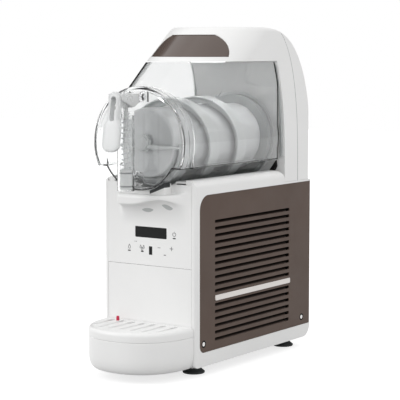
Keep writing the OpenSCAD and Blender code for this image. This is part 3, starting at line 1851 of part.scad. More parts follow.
place() tap_piston();
place() piston_rings();
place() refill_lid();
place() drip_tray();
place() drip_cover();
place() tray_float();
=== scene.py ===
import json
import math

import bmesh
import bpy
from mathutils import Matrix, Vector


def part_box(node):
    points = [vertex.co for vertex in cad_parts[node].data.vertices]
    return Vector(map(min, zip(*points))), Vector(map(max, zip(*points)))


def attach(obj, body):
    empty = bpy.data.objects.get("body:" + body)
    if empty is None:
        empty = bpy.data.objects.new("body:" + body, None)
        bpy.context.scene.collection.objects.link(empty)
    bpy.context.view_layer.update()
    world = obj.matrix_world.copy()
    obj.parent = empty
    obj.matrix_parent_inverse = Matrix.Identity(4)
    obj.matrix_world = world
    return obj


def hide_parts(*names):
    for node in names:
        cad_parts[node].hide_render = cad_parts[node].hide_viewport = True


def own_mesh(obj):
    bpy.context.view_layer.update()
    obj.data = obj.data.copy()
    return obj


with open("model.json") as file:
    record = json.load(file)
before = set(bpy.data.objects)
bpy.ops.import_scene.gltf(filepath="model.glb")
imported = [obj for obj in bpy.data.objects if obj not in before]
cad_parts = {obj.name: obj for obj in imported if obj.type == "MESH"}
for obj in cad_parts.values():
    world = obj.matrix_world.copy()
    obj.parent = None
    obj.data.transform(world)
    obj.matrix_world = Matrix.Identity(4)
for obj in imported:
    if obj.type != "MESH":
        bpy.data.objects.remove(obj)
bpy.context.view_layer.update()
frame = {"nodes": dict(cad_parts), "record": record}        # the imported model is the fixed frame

mm = 0.001
boardRear = 374    # the control board's rear face, behind the cabinet's front plane
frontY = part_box("control_board")[1].y - boardRear * mm
axisZ = 411    # height of the axis of drum, auger and bowl
pinY = -41.22    # the lever's pin
pinZ = 493
mergeGap = 0.01    # points nearer than this become one
print("frame loaded, front plane at y =", round(frontY, 4))


# Small tools

def at(x, y, z):    # millimetres from the cabinet's front plane to metres in the frame
    return Vector((x * mm, frontY + y * mm, z * mm))


def between(pair, share):
    return pair[0] + (pair[1] - pair[0]) * share


def smoothStep(low, high, value):
    share = min(1, max(0, (value - low) / (high - low)))
    return share * share * (3 - 2 * share)


def signedPower(value, power):    # a sine or cosine pushed outward, for a round section with flat sides
    return math.copysign(abs(value) ** power, value)


def roundEnd(share):    # rises from 0 to 1 like a quarter circle
    return math.sqrt(max(0, 1 - (1 - min(1, share)) ** 2))


def quarterTurn(count, steps):    # (cosine, sine) at equal steps through a right angle
    turns = [math.pi / 2 * i / steps for i in range(count)]
    return [(math.cos(turn), math.sin(turn)) for turn in turns]


def deselectAll():
    if bpy.context.mode != "OBJECT":
        bpy.ops.object.mode_set(mode="OBJECT")
    bpy.ops.object.select_all(action="DESELECT")


def makeActive(piece):
    deselectAll()
    piece.select_set(True)
    bpy.context.view_layer.objects.active = piece


def named(name):
    piece = bpy.context.active_object
    piece.name = name
    piece.data.name = name
    return piece


def settle(piece):    # place, turn and size go into the mesh
    makeActive(piece)
    bpy.ops.object.transform_apply(location=True, rotation=True, scale=True)


def pick(piece, kind, test):    # selects faces, edges or points in edit mode by their place or normal
    makeActive(piece)
    bpy.ops.object.mode_set(mode="EDIT")
    bpy.ops.mesh.select_mode(type=kind)
    bpy.ops.mesh.select_all(action="DESELECT")
    mesh = bmesh.from_edit_mesh(piece.data)
    groups = {"FACE": mesh.faces, "EDGE": mesh.edges, "VERT": mesh.verts}
    for element in groups[kind]:
        if test(element):
            element.select_set(True)
    bmesh.update_edit_mesh(piece.data)


def editAll(piece):
    makeActive(piece)
    bpy.ops.object.mode_set(mode="EDIT")
    bpy.ops.mesh.select_all(action="SELECT")


def endEdit():
    bpy.ops.object.mode_set(mode="OBJECT")


def extrudeBy(push):
    bpy.ops.mesh.extrude_region_move(TRANSFORM_OT_translate={"value": push})


def facesOut():
    bpy.ops.mesh.select_all(action="SELECT")
    bpy.ops.mesh.normals_make_consistent(inside=False)


def sealed(piece):    # merges the seam, closes open ends and turns the faces outward
    makeActive(piece)
    bpy.ops.object.mode_set(mode="EDIT")
    bpy.ops.mesh.select_mode(type="VERT")
    bpy.ops.mesh.select_all(action="SELECT")
    bpy.ops.mesh.remove_doubles(threshold=mergeGap * mm)
    bpy.ops.mesh.select_all(action="SELECT")
    bpy.ops.mesh.fill_holes(sides=0)
    facesOut()
    endEdit()
    return piece


def thickened(piece, push):    # a sheet pushed along a vector into a closed plate
    editAll(piece)
    extrudeBy(push)
    endEdit()
    return sealed(piece)


def applyModifier(piece, kind, **settings):
    makeActive(piece)
    modifier = piece.modifiers.new(kind.lower(), kind)
    for key, value in settings.items():
        setattr(modifier, key, value)
    bpy.ops.object.modifier_apply(modifier=modifier.name)


def softEdges(piece, width, segments=3, angle=40):
    applyModifier(
        piece, "BEVEL", width=width * mm, segments=segments, limit_method="ANGLE",
        angle_limit=math.radians(angle), miter_outer="MITER_ARC")


def cut(piece, cutter, operation="DIFFERENCE"):
    applyModifier(piece, "BOOLEAN", object=cutter, operation=operation, solver="MANIFOLD")
    bpy.data.objects.remove(cutter)


def joined(name, parts):
    deselectAll()
    for part in parts:
        part.select_set(True)
    bpy.context.view_layer.objects.active = parts[0]
    bpy.ops.object.join()
    return named(name)


def addBox(name, low, high):
    deselectAll()
    lowPoint = at(*low)
    highPoint = at(*high)
    bpy.ops.mesh.primitive_cube_add(size=1, location=(lowPoint + highPoint) / 2)
    piece = named(name)
    piece.scale = highPoint - lowPoint
    settle(piece)
    return piece


def roundedBox(name, low, high, axis, radius, steps=6):    # a box whose edges along one axis are rounded
    piece = addBox(name, low, high)
    index = "XYZ".index(axis)
    pick(piece, "EDGE", lambda edge: abs((edge.verts[0].co - edge.verts[1].co).normalized()[index]) > 0.99)
    bpy.ops.mesh.bevel(offset=radius * mm, segments=steps, affect="EDGES")
    endEdit()
    return piece


def addRod(name, radius, start, end, segments=64):    # a cylinder between two points in millimetres
    deselectAll()
    first = at(*start)
    last = at(*end)
    bpy.ops.mesh.primitive_cylinder_add(
        vertices=segments, radius=radius * mm, depth=(last - first).length, location=(first + last) / 2)
    piece = named(name)
    piece.rotation_mode = "QUATERNION"
    piece.rotation_quaternion = (last - first).to_track_quat("Z", "Y")
    settle(piece)
    return piece


def bentGrid(name, across, along, place):    # a grid laid on place(u, v), with u and v from 0 to 1
    deselectAll()
    bpy.ops.mesh.primitive_grid_add(x_subdivisions=across, y_subdivisions=along, size=1)
    piece = named(name)
    for point in piece.data.vertices:
        point.co = place(point.co.x + 0.5, point.co.y + 0.5)
    piece.data.update()
    return piece


def lathe(name, centre, profile, axis=(0, 0, 1), steps=64):    # spins (radius, height) about an axis
    deselectAll()
    origin = at(*centre)
    direction = Vector(axis)
    spots = [origin + Vector((radius * mm, 0, 0)) + direction * height * mm for radius, height in profile]
    bpy.ops.mesh.primitive_plane_add(size=mm, location=spots[0])
    piece = named(name)
    settle(piece)
    bpy.ops.object.mode_set(mode="EDIT")
    bpy.ops.mesh.select_mode(type="VERT")
    bpy.ops.mesh.select_all(action="SELECT")
    bpy.ops.mesh.merge(type="CENTER")
    for first, second in zip(spots, spots[1:]):
        extrudeBy(second - first)
    bpy.ops.mesh.select_all(action="SELECT")
    bpy.ops.mesh.spin(steps=steps, angle=math.tau, center=origin, axis=direction)
    endEdit()
    return sealed(piece)


def onAxis(axis, first, second, along):
    if axis == "X":
        return at(along, first, second)
    return at(first, along, second)


def outlinePrism(name, outline, low, high, axis):    # a closed outline pushed along X or Y
    deselectAll()
    bpy.ops.mesh.primitive_circle_add(vertices=len(outline), fill_type="NGON")
    piece = named(name)
    for point, (first, second) in zip(piece.data.vertices, outline):
        point.co = onAxis(axis, first, second, low)
    piece.data.update()
    return thickened(piece, onAxis(axis, 0, 0, high) - onAxis(axis, 0, 0, low))


def copyNode(node, name):    # a merged copy of a CAD node, with flat stretches as single faces
    deselectAll()
    piece = bpy.data.objects.new(name, frame["nodes"][node].data.copy())
    bpy.context.collection.objects.link(piece)
    piece.data.name = name
    piece.data.materials.clear()
    makeActive(piece)
    if piece.data.has_custom_normals:
        bpy.ops.mesh.customdata_custom_splitnormals_clear()
    editAll(piece)
    bpy.ops.mesh.remove_doubles(threshold=2 * mergeGap * mm)
    bpy.ops.mesh.dissolve_limited(angle_limit=math.radians(1))
    endEdit()
    return piece


def copyPiece(piece, name, shift):    # a copy with its own mesh, moved by millimetres
    made = piece.copy()
    made.data = piece.data.copy()
    made.name = name
    made.data.name = name
    bpy.context.collection.objects.link(made)
    made.location = Vector(shift) * mm
    settle(made)
    return made


def finish(piece, body, slot, *nodes, look=None, angle=35):    # the slot's own finish, unless look is given
    makeActive(piece)
    bpy.ops.object.shade_smooth_by_angle(angle=math.radians(angle))
    applyModifier(piece, "WEIGHTED_NORMAL", keep_sharp=True, weight=50)
    piece.data.materials.clear()
    piece.data.materials.append(look or finishes[slot])
    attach(piece, body)
    if nodes:
        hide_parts(*nodes)
    print("made", piece.name, len(piece.data.polygons), "faces")


# Materials

def newMaterial(name):
    material = bpy.data.materials.new(name)
    material.use_nodes = True
    nodes = material.node_tree.nodes
    return material, nodes, nodes["Principled BSDF"]


def setInputs(node, values):
    for key, value in values.items():
        node.inputs[key].default_value = value


def addNode(nodes, kind, values=None):
    node = nodes.new("ShaderNode" + kind)
    setInputs(node, values or {})
    return node


def addMath(nodes, operation, values=None):
    node = addNode(nodes, "Math", values)
    node.operation = operation
    return node


def wire(first, output, second, socket):    # joins two nodes of one tree
    first.id_data.links.new(first.outputs[output], second.inputs[socket])


def addNoise(nodes, scale, detail=4, stretch=(1, 1, 1)):
    place = addNode(nodes, "TexCoord")
    mapping = addNode(nodes, "Mapping", {"Scale": stretch})
    noise = addNode(nodes, "TexNoise", {"Scale": scale, "Detail": detail})
    wire(place, "Object", mapping, "Vector")
    wire(mapping, "Vector", noise, "Vector")
    return noise


noiseSpan = (0.3, 0.7)    # where most of a noise lies
toneStops = (0.35, 0.65)


def addTone(nodes, noise, first, second):    # noise to a colour between two
    ramp = addNode(nodes, "ValToRGB")
    for stop, position, colour in zip(ramp.color_ramp.elements, toneStops, (first, second)):
        stop.position = position
        stop.color = (*colour, 1)
    wire(noise, "Fac", ramp, "Fac")
    wire(ramp, "Color", nodes["Principled BSDF"], "Base Color")


def addRough(nodes, noise, rough, shares):    # noise to a range of roughness
    ranged = addNode(nodes, "MapRange", {
        "From Min": noiseSpan[0], "From Max": noiseSpan[1],
        "To Min": rough * shares[0], "To Max": rough * shares[1],
    })
    wire(noise, "Fac", ranged, "Value")
    wire(ranged, "Result", nodes["Principled BSDF"], "Roughness")


def addBump(nodes, noise, strength, depth):
    bump = addNode(nodes, "Bump", {"Strength": strength, "Distance": depth})
    wire(noise, "Fac", bump, "Height")
    wire(bump, "Normal", nodes["Principled BSDF"], "Normal")


plasticLook = {
    "inputs": {"IOR": 1.48, "Coat Roughness": 0.06, "Emission Color": (1, 1, 1, 1)},
    "clouds": 9, "smudges": 26, "rough": (0.88, 1.12), "bump": 0.25,
}


def mouldedPlastic(
        name, colour, rough, grain=900, depth=0.00003, coat=0.0, drift=0.03, shine=0.5, clear=0.0, glow=0.0):
    material, nodes, shader = newMaterial(name)
    setInputs(shader, plasticLook["inputs"])
    setInputs(shader, {
        "Specular IOR Level": shine, "Coat Weight": coat,
        "Transmission Weight": clear, "Emission Strength": glow,
    })
    darker = [c * (1 - drift) for c in colour]
    lighter = [min(1, c * (1 + drift)) for c in colour]
    addTone(nodes, addNoise(nodes, plasticLook["clouds"]), darker, lighter)
    addRough(nodes, addNoise(nodes, plasticLook["smudges"], detail=6), rough, plasticLook["rough"])
    addBump(nodes, addNoise(nodes, grain, detail=2), plasticLook["bump"], depth)
    return material


metalLook = {
    "inputs": {"Metallic": 1.0, "Anisotropic": 0.4},
    "scale": 220, "detail": 5, "shade": 0.93, "rough": (0.8, 1.25), "bump": (0.12, 0.00004),
}
clearLook = {
    "inputs": {"Transmission Weight": 1.0, "IOR": 1.45},
    "scale": 14, "detail": 3, "shade": 0.985, "rough": (0.7, 1.4), "bump": (0.05, 0.0003),
}
paintLook = {
    "inputs": {"IOR": 1.5},
    "scale": 16, "detail": 4, "shade": 0.93, "rough": (0.9, 1.15), "bump": (0.2, 0.0001),
}


def plainFinish(look, name, colour, rough, stretch=(1, 1, 1), dimples=None):    # metal, clear or painted
    material, nodes, shader = newMaterial(name)
    setInputs(shader, look["inputs"])
    noise = addNoise(nodes, look["scale"], look["detail"], stretch)
    addTone(nodes, noise, [c * look["shade"] for c in colour], colour)
    addRough(nodes, noise, rough, look["rough"])
    relief = addNoise(nodes, dimples, detail=2) if dimples else noise
    addBump(nodes, relief, *look["bump"])
    return material


def paintShadeInside(material, colour, deep, face):    # painted shade: dark up to deep and plain from face, out from the middle
    nodes = material.node_tree.nodes
    shader = nodes["Principled BSDF"]
    tone = shader.inputs["Base Color"].links[0].from_node
    place = addNode(nodes, "TexCoord")
    split = addNode(nodes, "SeparateXYZ")
    fromMiddle = addMath(nodes, "ABSOLUTE")
    share = addNode(nodes, "MapRange", {"From Min": deep * mm, "From Max": face * mm})
    blend = addNode(nodes, "MixRGB", {"Color1": (*colour, 1)})
    wire(tone, "Color", blend, "Color2")
    wire(place, "Object", split, "Vector")
    wire(split, "X", fromMiddle, 0)
    wire(fromMiddle, "Value", share, "Value")
    wire(share, "Result", blend, "Fac")
    wire(blend, "Color", shader, "Base Color")


white = (0.80, 0.80, 0.795)
brown = (0.088, 0.059, 0.046)
bandBrown = (0.10, 0.075, 0.064)
charcoal = (0.024, 0.027, 0.028)
# painted shade in the louvre slots: its colour, and the depths where it is full and where it ends
louvreShade = {"colour": (0.006, 0.003, 0.002), "deep": 96.3, "face": 98.0}
finishes = {
    "white_shell": mouldedPlastic("whiteShell", white, 0.34, drift=0.012, shine=0.4),
    "brown_panel": mouldedPlastic(
        "brownSatin", brown, 0.45, grain=1400, depth=0.00004, drift=0.05, shine=0.2),
    "brown_band": mouldedPlastic("brownGloss", bandBrown, 0.16, coat=0.12, drift=0.05, shine=0.4),
    "trim": mouldedPlastic("satinTrim", (0.78, 0.74, 0.71), 0.36, grain=1200, drift=0.02),
    "steel": plainFinish(metalLook, "brushedSteel", (0.66, 0.67, 0.68), 0.3, stretch=(1, 0.05, 1)),
    "sheet": plainFinish(paintLook, "greySheet", (0.6, 0.6, 0.6), 0.45, dimples=380),
    "dark_lens": mouldedPlastic("smokedLens", (0.013, 0.014, 0.014), 0.14, drift=0.1, shine=0.1),
    "board": mouldedPlastic("circuitBoard", (0.04, 0.17, 0.08), 0.4, grain=300, drift=0.2),
    "rubber": mouldedPlastic("charcoalRubber", charcoal, 0.7, grain=1600, depth=0.00008, drift=0.15),
    "black_plastic": mouldedPlastic("blackPlastic", (0.022, 0.022, 0.022), 0.5, drift=0.15),
    "lamp": mouldedPlastic("milkyDiffuser", (0.86, 0.86, 0.86), 0.5, glow=20.0),
    "white_inner": mouldedPlastic("foodPlastic", (0.60, 0.615, 0.615), 0.38, drift=0.02),
    "casting": plainFinish(paintLook, "rawCasting", (0.5, 0.5, 0.5), 0.55, dimples=700),
    "black_metal": plainFinish(paintLook, "blackEnamel", (0.018, 0.018, 0.018), 0.35, dimples=380),
    "fins": plainFinish(metalLook, "coolingFins", (0.72, 0.72, 0.72), 0.4, stretch=(1, 1, 0.05)),
    "copper": plainFinish(metalLook, "bareCopper", (0.72, 0.4, 0.25), 0.32, stretch=(1, 0.1, 1)),
    "clear_bowl": plainFinish(clearLook, "clearPlastic", (0.97, 0.975, 0.975), 0.02),
    "red_float": mouldedPlastic("redFloat", (0.5, 0.018, 0.06), 0.28, drift=0.05),
}
drumSatin = mouldedPlastic("drumSatin", (0.58, 0.59, 0.595), 0.36, grain=160, depth=0.00001, drift=0.02)
linerWhite = mouldedPlastic("linerWhite", (0.74, 0.74, 0.735), 0.4, drift=0.02)
# grey of the real gaskets, and of the strip that paints shade in the rear cover's seam
gasketGrey = mouldedPlastic("gasketGrey", (0.26, 0.27, 0.27), 0.6, grain=1600, drift=0.08)
screwSteel = plainFinish(metalLook, "screwSteel", (0.78, 0.77, 0.76), 0.34)
# grey for painted shade: the leaf-shaped shadows and the strips along the column's edge
windowGrey = mouldedPlastic("windowGrey", (0.44, 0.455, 0.455), 0.3, drift=0.02)
# a faint glow that paints the highlight on the canopy's rim
rimGlow = mouldedPlastic("rimGlow", (0.9, 0.9, 0.9), 0.5, glow=0.9)
milkyPlastic = mouldedPlastic("milkyPlastic", (0.80, 0.81, 0.81), 0.3, drift=0.01, clear=0.3)
printedGrey = mouldedPlastic("printedGrey", (0.16, 0.16, 0.165), 0.55, drift=0.06)
# black for the dust filters, and for painted shadow in the dark wedges and the rings round the screws
filterBlack = mouldedPlastic("filterBlack", (0.012, 0.011, 0.010), 0.8, drift=0.2, shine=0.1)
# paints shade into the louvre slots, darkest deepest in
paintShadeInside(finishes["brown_panel"], **louvreShade)

slotOf = {row["node"]: row["material_slot"] for row in frame["record"]["subparts"]}
bodyOf = {node: body for body, names in frame["record"]["behaviour"]["bodies"].items() for node in names}
ownLooks = {"bulkhead": linerWhite, "bowl_gasket": gasketGrey, "piston_rings": gasketGrey}
for node, slot in slotOf.items():    # every CAD node that stays gets its finish
    materials = frame["nodes"][node].data.materials
    materials.clear()
    materials.append(ownLooks.get(node, finishes[slot]))
print("finishes made:", len(finishes))


# Shell pieces that keep the CAD shape, with moulded edges

shellPieces = {
    "hood": {"name": "hoodShell", "edge": 1.3},
    "rear_cover": {"name": "rearCover", "edge": 1.3},
    "left_side_frame": {"name": "sideFrameLeft", "edge": 0.8},
    "right_side_frame": {"name": "sideFrameRight", "edge": 0.8},
    "left_side_panel": {"name": "louvrePanelLeft", "edge": 0.25},
    "right_side_panel": {"name": "louvrePanelRight", "edge": 0.25},
    "splash_panel": {"name": "splashPanel", "edge": 0.8},
    "refill_lid": {"name": "refillLid", "edge": 0.6},
    "hood_band": {"name": "hoodBand", "edge": 0.5},
    "chute_sleeve": {"name": "chuteSleeve", "edge": 0.5},
    "trim_bars": {"name": "trimBars", "edge": 0.4},
    "panel_screws": {"name": "panelScrews", "edge": 0.3, "look": screwSteel},
    "cable_gland": {"name": "cableGland", "edge": 0.5},
    "display_lenses": {"name": "displayLenses", "edge": 0.35},
    "tap_tube": {"name": "tapTube", "edge": 0.7},
    "tap_cap": {"name": "tapCap", "edge": 0.9},
    "tap_piston": {"name": "tapPiston", "edge": 0.6, "look": milkyPlastic},
    "lever_pin": {"name": "leverPin", "edge": 0.6},
}
for node, shell in shellPieces.items():
    piece = copyNode(node, shell["name"])
    softEdges(piece, shell["edge"])
    finish(piece, bodyOf[node], slotOf[node], node, look=shell.get("look"))


# Rear panel of sheet metal with its vents, laid out as a grid of columns and rows

sheetSettings = {
    "columns": (-95.9, -91.7, -60, 60, 91.7, 95.9), "low": (20, 51.3), "high": (312.7, 323), "wide": 91.7,
    "ventLow": 100, "ventPitch": 14, "ventHigh": 6, "ventRows": 9, "ventHalf": 60,
    "inside": 379, "thick": 2, "edge": 0.4, "gland": (-60, 62), "glandRadius": 8.1, "glandY": (370, 390),
    "posts": ((-50, 235), (50, 235), (-50, 295), (50, 295)), "postRadius": 4, "postLong": 5, "postSink": 0.5,
}
ventEdges = []
for i in range(sheetSettings["ventRows"]):
    ventStart = sheetSettings["ventLow"] + i * sheetSettings["ventPitch"]
    ventEdges += [ventStart, ventStart + sheetSettings["ventHigh"]]
sheetRows = [*sheetSettings["low"], *ventEdges, *sheetSettings["high"]]
sheetColumns = sheetSettings["columns"]


def sheetPoint(u, v):
    x = sheetColumns[round(u * (len(sheetColumns) - 1))]
    return at(x, sheetSettings["inside"], sheetRows[round(v * (len(sheetRows) - 1))])


def sheetOpening(face):    # true in a vent and in the four notched corners
    s = sheetSettings
    centre = face.calc_center_median() / mm
    corner = abs(centre.x) > s["wide"] and not s["low"][1] < centre.z < s["high"][0]
    ventRange = ventEdges[0] < centre.z < ventEdges[-1] and abs(centre.x) < s["ventHalf"]
    return corner or (ventRange and (centre.z - s["ventLow"]) % s["ventPitch"] < s["ventHigh"])


def makeRearPanel():
    s = sheetSettings
    sheet = bentGrid("rearPanel", len(sheetColumns) - 1, len(sheetRows) - 1, sheetPoint)
    pick(sheet, "FACE", sheetOpening)
    bpy.ops.mesh.delete(type="FACE")
    bpy.ops.mesh.select_all(action="SELECT")
    extrudeBy((0, s["thick"] * mm, 0))
    facesOut()
    endEdit()
    x, z = s["gland"]
    cut(sheet, addRod("glandCutter", s["glandRadius"], (x, s["glandY"][0], z), (x, s["glandY"][1], z)))
    softEdges(sheet, s["edge"])
    parts = [sheet]
    for x, z in s["posts"]:    # posts that carry the control board
        start = (x, s["inside"] - s["postLong"], z)
        parts.append(addRod("boardPost", s["postRadius"], start, (x, s["inside"] + s["postSink"], z)))
        softEdges(parts[-1], s["edge"])
    finish(joined("rearPanel", parts), "cabinet", slotOf["rear_panel"], "rear_panel")


makeRearPanel()


# Grey strips that paint shade: down in the rear cover's seam and along the column's front edge

shadeStripSettings = {
    "roofEnd": 200, "reach": (141.5, 142.9), "lowZ": 325, "rise": 302, "power": 2.8, "turns": (0, 64),
    "seamX": (97.2, 100.03), "edgeX": (92.5, 96.6), "edgeZ": (374, 546), "edgeDeep": 5, "edgeLeast": 0.8,
    "gap": 0.1, "bowlRear": 279.4, "edge": 0.3, "seamSteps": 60, "edgeSteps": 40,
}
windowSettings = {"y": 295.5, "lean": 30, "z": (325, 553)}


def windowY(z):    # the column's front edge, which comes forward towards the top
    low, high = windowSettings["z"]
    return windowSettings["y"] - windowSettings["lean"] * ((z - low) / (high - low)) ** 3


def shadeStripSection(side, reach, front, rear, z):
    inner, outer = (side * x for x in reach)
    return [at(inner, front, z), at(outer, front, z), at(outer, rear, z), at(inner, rear, z)]


def seamSection(side, v):
    s = shadeStripSettings
    turn = math.radians(between(s["turns"], v))
    z = s["lowZ"] + s["rise"] * math.sin(turn) ** (2 / s["power"])
    front, rear = (s["roofEnd"] + reach * math.cos(turn) ** (2 / s["power"]) for reach in s["reach"])
    return shadeStripSection(side, s["seamX"], front, rear, z)


def edgeSection(side, v):
    s = shadeStripSettings
    z = between(s["edgeZ"], v)
    rear = windowY(z) - s["gap"]
    front = min(rear - s["edgeLeast"], max(s["bowlRear"], rear - s["edgeDeep"]))
    return shadeStripSection(side, s["edgeX"], front, rear, z)


def shadeStripPair(name, steps, section):    # a section of four corners carried along both sides
    pair = []
    for side in (-1, 1):
        grid = bentGrid(name, 4, steps, lambda u, v, side=side: section(side, v)[round(u * 4) % 4])
        pair.append(sealed(grid))
    return pair


# a grey strip down in the seam paints shade into the gap
seamSeals = shadeStripPair("seamSeal", shadeStripSettings["seamSteps"], seamSection)
finish(joined("seamSeals", seamSeals), "cabinet", "rubber", look=gasketGrey)
# grey strips along the column's front edge paint the shade behind the bowl
columnSeals = shadeStripPair("columnSeal", shadeStripSettings["edgeSteps"], edgeSection)
for seal in columnSeals:
    softEdges(seal, shadeStripSettings["edge"], segments=2)
finish(joined("columnSeals", columnSeals), "cabinet", "rubber", look=windowGrey)


# Bowl seat on the brow, with dark wedges of painted shadow: one under the bowl on the right, two at the
# column's foot

seatSettings = {
    "edge": 0.8, "padEdge": 0.5, "wedgeY": (-22, -4), "padY": (290, 295),
    "wedge": [(18, 323.5), (49.3, 335.5), (49.3, 344.2), (42, 340), (34, 335.6), (26, 332.4), (18, 329.4)],
    "pad": [(67, 344.5), (78.5, 344.5), (84.2, 355), (82.6, 366.4)],
}
seat = copyNode("bowl_saddle", "bowlSaddle")
softEdges(seat, seatSettings["edge"])
finish(seat, "cabinet", "white_shell", "bowl_saddle")
# a dark wedge that paints the shadow in the gap under the bowl's right side
wedge = outlinePrism("saddlePad", seatSettings["wedge"], *seatSettings["wedgeY"], "Y")
softEdges(wedge, seatSettings["padEdge"])
finish(wedge, "cabinet", "rubber")
# dark wedges that paint the shadow in the gap under the bowl's rear rim
rearPads = []
for side in (-1, 1):
    outline = [(side * x, z) for x, z in seatSettings["pad"]]
    rearPads.append(outlinePrism("rearPad", outline, *seatSettings["padY"], "Y"))
    softEdges(rearPads[-1], seatSettings["padEdge"])
finish(joined("rearPads", rearPads), "cabinet", "rubber", look=filterBlack)


# Dark rings round the panel screws, which paint the shadow in their recesses

shadowRingSettings = {"past": 1.5, "wide": 1.6, "thick": 0.5, "sink": 0.2, "steps": (40, 10)}
screwLow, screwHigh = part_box("panel_screws")
screwZ = (screwLow.z + screwHigh.z) / 2
headRadius = (screwHigh.z - screwLow.z) / 2


def shadowRingPoint(side, y):
    def place(u, v):
        s = shadowRingSettings
        around = math.tau * u
        tube = math.tau * v
        radius = headRadius + (s["past"] + s["wide"] * math.cos(tube)) * mm
        x = screwHigh.x + (s["thick"] * math.sin(tube) - s["sink"]) * mm
        return Vector((side * x, y + radius * math.cos(around), screwZ + radius * math.sin(around)))
    return place


# each ring is painted shadow round a screw head
shadowRings = []
for side in (-1, 1):
    for y in (screwLow.y + headRadius, screwHigh.y - headRadius):
        shadowRings.append(sealed(bentGrid("screwWasher", *shadowRingSettings["steps"], shadowRingPoint(side, y))))
finish(joined("screwWashers", shadowRings), "cabinet", "rubber", look=filterBlack)


# Glowing strip along the canopy's lower front rim, which paints a highlight; it is no lamp

rimSettings = {
    "centreY": 163, "radius": (97, 99.6), "z": (551.5, 553.1), "turns": (30, 66), "edge": 0.3,
    "steps": (48, 2),
}


def rimPoint(u, v):
    s = rimSettings
    turn = math.radians(between(s["turns"], u))
    radius = between(s["radius"], v)
    return at(radius * math.cos(turn), s["centreY"] - radius * math.sin(turn), s["z"][0])


rimHigh = rimSettings["z"][1] - rimSettings["z"][0]
rimStrip = thickened(bentGrid("rimStrip", *rimSettings["steps"], rimPoint), (0, 0, rimHigh * mm))
softEdges(rimStrip, rimSettings["edge"], segments=2)
finish(rimStrip, "cabinet", "lamp", look=rimGlow)


# Dust filters behind the louvres

filterSettings = {"x": (90.2, 90.8), "y": (50, 348), "z": (60, 314), "edge": 0.2}
for side, name in ((-1, "dustFilterLeft"), (1, "dustFilterRight")):
    lowX, highX = sorted(side * x for x in filterSettings["x"])
    lowY, highY = filterSettings["y"]
    lowZ, highZ = filterSettings["z"]
    dustFilter = addBox(name, (lowX, lowY, lowZ), (highX, highY, highZ))
    softEdges(dustFilter, filterSettings["edge"], segments=1)
    finish(dustFilter, "cabinet", "rubber", look=filterBlack)


# Control fascia with its brow

browSettings = {
    "halfWidth": 91.7, "low": 193.3, "top": 340, "depth": 3, "edge": 0.6,
    "coveStart": 262, "edgeLow": 302, "edgeRise": 12, "riseFrom": -27, "riseTo": 51,
    "browTop": 322, "reach": 29, "columns": 184, "plainRows": 10, "coveRows": 36,
    "lip": 4, "lipShare": 0.3, "crown": 7, "crownShare": 0.45, "step": 3,
    "leftFlank": (-66, -46), "rightFlank": (42, 90), "cradleRadius": 88, "cradleY": (-40, 20),
}


def browEdge(x):    # height of the brow's lower edge, which rises in a wave towards the right
    s = browSettings
    return s["edgeLow"] + s["edgeRise"] * smoothStep(s["riseFrom"], s["riseTo"], x)


def browSection(x):    # (y, z) up the fascia: plain face, hollow, lip, front, round top, step, plain face
    s = browSettings
    edge = browEdge(x)
    cove = s["coveStart"]
    top = s["browTop"]
    reach = s["reach"]
    step = s["step"]
    room = top - edge
    lip = min(s["lip"], room * s["lipShare"])
    crown = min(s["crown"], room * s["crownShare"])
    hollow = reach - lip
    points = [(0, s["low"] + (cove - s["low"]) * i / s["plainRows"]) for i in range(s["plainRows"])]
    for c, n in quarterTurn(s["coveRows"], s["coveRows"]):
        points.append((hollow * (c - 1), cove + (edge - cove) * n))
    points += [(-hollow - lip * n, edge + lip * (1 - c)) for c, n in quarterTurn(7, 6)]
    points += [(-reach, edge + lip + (room - lip - crown) * i / 4) for i in range(1, 4)]
    points += [(-reach + crown * (1 - c), top - crown + crown * n) for c, n in quarterTurn(9, 8)]
    points += [(-(reach - crown) + (reach - crown - step) * i / 5, top) for i in range(1, 5)]
    points += [(-step + step * n, top + step * (1 - c)) for c, n in quarterTurn(6, 5)]
    points += [(0, top + step + (s["top"] - top - step) * i / 4) for i in range(1, 5)]
    return points


sectionRows = len(browSection(0)) - 1


def fasciaPoint(u, v):
    s = browSettings
    rows = s["plainRows"]
    x = s["halfWidth"] * (2 * u - 1)
    row = round(v * sectionRows)
    y, z = browSection(x)[row]
    plain = s["low"] + (s["coveStart"] - s["low"]) * row / rows
    if row > rows:
        plain = s["coveStart"] + (s["top"] - s["coveStart"]) * (row - rows) / (sectionRows - rows)
    share = min(smoothStep(*s["leftFlank"], x), 1 - smoothStep(*s["rightFlank"], x))
    return at(x, y * share, plain + (z - plain) * share)


def makeFascia():
    s = browSettings
    fascia = bentGrid("controlFascia", s["columns"], sectionRows, fasciaPoint)
    pick(fascia, "EDGE", lambda edge: edge.is_boundary)
    extrudeBy((0, s["depth"] * mm, 0))
    endEdit()
    sealed(fascia)
    front, rear = s["cradleY"]
    cut(fascia, addRod("cradleCutter", s["cradleRadius"], (0, front, axisZ), (0, rear, axisZ), segments=192))
    cut(fascia, copyNode("display_lenses", "lensCutter"))
    softEdges(fascia, s["edge"], segments=2, angle=55)
    finish(fascia, "cabinet", "white_shell", "control_fascia", angle=40)


makeFascia()


# Grey leaf-shaped patches in the hollow under the brow, which paint cast shadows

leafShape = {"power": 0.8, "upper": 0.7, "proud": 0.25, "deep": 1.6, "steps": (32, 12)}
leafShadows = [    # x and z of the middle, half length, half height and lean
    {"name": "leafWindowLeft", "x": 3, "z": 293.5, "long": 12, "high": 4.4, "lean": 0.06},
    {"name": "leafWindowRight", "x": 47, "z": 301, "long": 10.5, "high": 5.6, "lean": -0.22},
]


